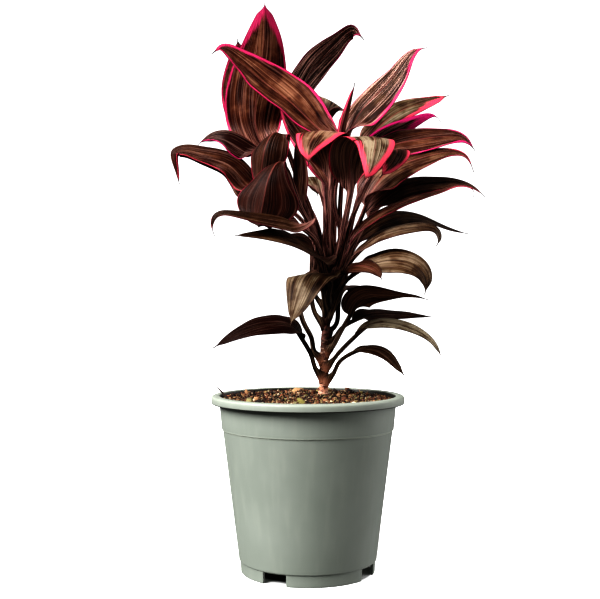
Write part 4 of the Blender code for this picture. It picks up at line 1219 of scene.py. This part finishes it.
def soil_bed(rings=90, segments=240):
    """A closed drum: rings of the height field from the middle out, then the wall and the floor."""
    radius = SOIL_EDGE * np.linspace(0, 1, rings)[1:]
    angle = round_angles(segments)
    x, y = radius[:, None] * np.cos(angle), radius[:, None] * np.sin(angle)
    ground = np.stack([x, y, soil_height(x, y)], axis=-1)
    lower = along_wall(WALL + SOIL_CLEARANCE, (150.0, 120.0, 80.0, 40.0, FLOOR_TOP + 2.2))
    lower.append((lower[-1][0] - 2.0, FLOOR_TOP + SOIL_CLEARANCE))
    drum = [np.stack([r * np.cos(angle), r * np.sin(angle), 0 * angle + h], axis=-1) for r, h in lower]
    rows = np.concatenate([ground, np.array(drum)])
    poles = [[0, 0, float(soil_height(0.0, 0.0))], [0, 0, FLOOR_TOP + SOIL_CLEARANCE]]
    return np.concatenate([rows.reshape(-1, 3), poles]), *closed_skin(len(rows), segments)


# %% [markdown]
# On the bed lie thousands of crumbs, chips and fibres. Each is the same twelve-cornered grain, pushed out
# of shape, stretched and turned at random by whole-array maths. Few faces are enough for a thing so small.

# %% Crumbs, chips and fibres
def grain_shape():
    """Corners and faces of an icosahedron, the simplest rounded grain."""
    golden = (1 + 5**0.5) / 2
    corners = [(-1, golden, 0), (1, golden, 0), (-1, -golden, 0), (1, -golden, 0),
               (0, -1, golden), (0, 1, golden), (0, -1, -golden), (0, 1, -golden),
               (golden, 0, -1), (golden, 0, 1), (-golden, 0, -1), (-golden, 0, 1)]
    faces = [(0, 11, 5), (0, 5, 1), (0, 1, 7), (0, 7, 10), (0, 10, 11), (1, 5, 9), (5, 11, 4),
             (11, 10, 2), (10, 7, 6), (7, 1, 8), (3, 9, 4), (3, 4, 2), (3, 2, 6), (3, 6, 8),
             (3, 8, 9), (4, 9, 5), (2, 4, 11), (6, 2, 10), (8, 6, 7), (9, 8, 1)]
    return np.array(corners) / math.hypot(1, golden), np.array(faces)


def random_turns(draw, count):
    """Random rotations: the directions left after making two random vectors square to each other."""
    first = draw.normal(size=(count, 3))
    first /= np.linalg.norm(first, axis=1)[:, None]
    second = draw.normal(size=(count, 3))
    second -= (first * second).sum(axis=1)[:, None] * first
    second /= np.linalg.norm(second, axis=1)[:, None]
    return np.stack([first, second, np.cross(first, second)], axis=1)


def scattered(draw, corners, count, size_low, size_high, flat, long):
    """Many grains on the bed: jittered, stretched, turned, and let down on the ground where they fall."""
    shape = corners[None] * (1 + draw.uniform(-0.22, 0.22, (count, len(corners), 1)))
    size = size_low + (size_high - size_low) * draw.random((count, 1, 1)) ** 2
    stretch = np.stack([draw.uniform(1, long, count), np.ones(count), draw.uniform(flat, 1, count)], axis=-1)
    shape = shape * size * stretch[:, None]
    shape = np.einsum("nij,njk->nik", shape, random_turns(draw, count))
    radius = (SOIL_EDGE - 1.2) * np.sqrt(draw.random(count))
    angle = draw.uniform(0, 2 * math.pi, count)
    x, y = radius * np.cos(angle), radius * np.sin(angle)
    rise = soil_height(x, y) + size[:, 0, 0] * draw.uniform(-0.1, 0.7, count)
    return shape + np.stack([x, y, rise], axis=-1)[:, None]


# %% [markdown]
# Fresh mix shows dark peat, red-brown bark and a few pale woody bits. Each crumb keeps one number that
# picks its colour from a row of stops, so that neighbours differ as loose crumbs do.

# %% Finish of the mix
MIX_COLOURS = [(0.0, (0.010, 0.005, 0.003)), (0.3, (0.035, 0.015, 0.008)), (0.5, (0.14, 0.050, 0.022)),
               (0.66, (0.30, 0.115, 0.055)), (0.8, (0.50, 0.31, 0.16)), (0.9, (0.24, 0.21, 0.060)),
               (1.0, (0.88, 0.72, 0.52))]


def soil_finish():
    """A colour for each kind of crumb, dark pores over it, and for each crumb a shade of its own."""
    finish = Finish("potting_mix")
    kind, shade, _ = finish.parts(finish.vector("crumb"))
    grain = finish.noise(finish.place(), 2200.0, 3.0, 0.7)
    base = finish.layered(
        finish.ramp(kind, MIX_COLOURS),
        (finish.step(grain, 0.5, 0.35) * 0.75, (0.012, 0.006, 0.004)),
        (0.12 + shade * 0.75, (0.013, 0.007, 0.004)),
    )
    return finish.surface(Base_Color=base, Roughness=0.9, Normal=finish.bump(grain, 0.8, 0.0006))


# %% Lay the bed and the crumbs
soil_draw = np.random.default_rng(11)
mix = soil_finish()
bed = make_mesh("soil_bed", *soil_bed())
count = len(bed.vertices)
write_vector(bed, "crumb", soil_draw.random(count) * 0.55, 0.5 * soil_draw.random(count), 0.0)
add_piece("soil_bed", bed, mix, "soil")

# Fine crumbs, coarse ones, bark chips and fibres: how many, their least and greatest size in millimetres,
# how flat they may be and how long.
GRAIN_KINDS = [
    (8200, 0.4, 1.25, 0.5, 1.6),
    (230, 1.3, 2.8, 0.3, 2.0),
    (12, 3.0, 5.0, 0.25, 2.2),
    (520, 0.3, 0.5, 0.9, 9.0),
]
corners, faces = grain_shape()
points = np.concatenate([scattered(soil_draw, corners, *kind) for kind in GRAIN_KINDS])
count, each, _ = points.shape
faces = faces[None] + each * np.arange(count)[:, None, None]
grains = make_mesh("soil_crumbs", points.reshape(-1, 3), faces.reshape(-1, 3))
kinds = np.repeat(soil_draw.random(count) ** 1.15, each)
write_vector(grains, "crumb", kinds, 0.5 * np.repeat(soil_draw.random(count), each) ** 2, 0.0)
add_piece("soil_crumbs", grains, mix)
print("crumb faces", len(grains.polygons))

# %% [markdown]
# One dark splinter of bark sticks up out of the soil by the rim. It is a tapering tube of a few rings,
# each pushed a little out of round.

# %% Bark splinter
SPLINTER_LINE = [(-72, -10, 157), (-77, -8, 167), (-83, -5, 174), (-88, -3, 179), (-91, -2, 183)]
SPLINTER_RADIUS = 1.15


def splinter_grid(rows=24, columns=10):
    """Rings along the splinter's line. The radius shrinks towards the tip and wavers round each ring."""
    read, _, _ = through(SPLINTER_LINE)
    stations = np.linspace(0, 1, rows)
    side, up = axes_along(read, stations, np.array([-1.0, 0.0, 0.0]))
    angle, t = round_angles(columns)[None], stations[:, None]
    radius = SPLINTER_RADIUS * (1 - 0.75 * t**3) * (1 + 0.22 * np.sin(3 * angle + 11 * t))
    ring = np.cos(angle)[..., None] * side[:, None] + np.sin(angle)[..., None] * up[:, None]
    return read(stations)[:, None] + radius[..., None] * ring


def dark_bark():
    """Two dark browns mixed by a fine grain, which also gives the relief."""
    finish = Finish("dark_bark")
    grain = finish.noise(finish.place(), 900.0, 4.0, 0.7)
    base = finish.blend(finish.step(grain, 0.4, 0.7), (0.012, 0.008, 0.006), (0.07, 0.035, 0.022))
    return finish.surface(Base_Color=base, Roughness=0.85, Normal=finish.bump(grain, 0.6, 0.0005))


splinter = make_mesh("bark_splinter", *closed_tube(splinter_grid()))
add_piece("bark_splinter", splinter, dark_bark(), "twig")
print("splinter faces", len(splinter.polygons))
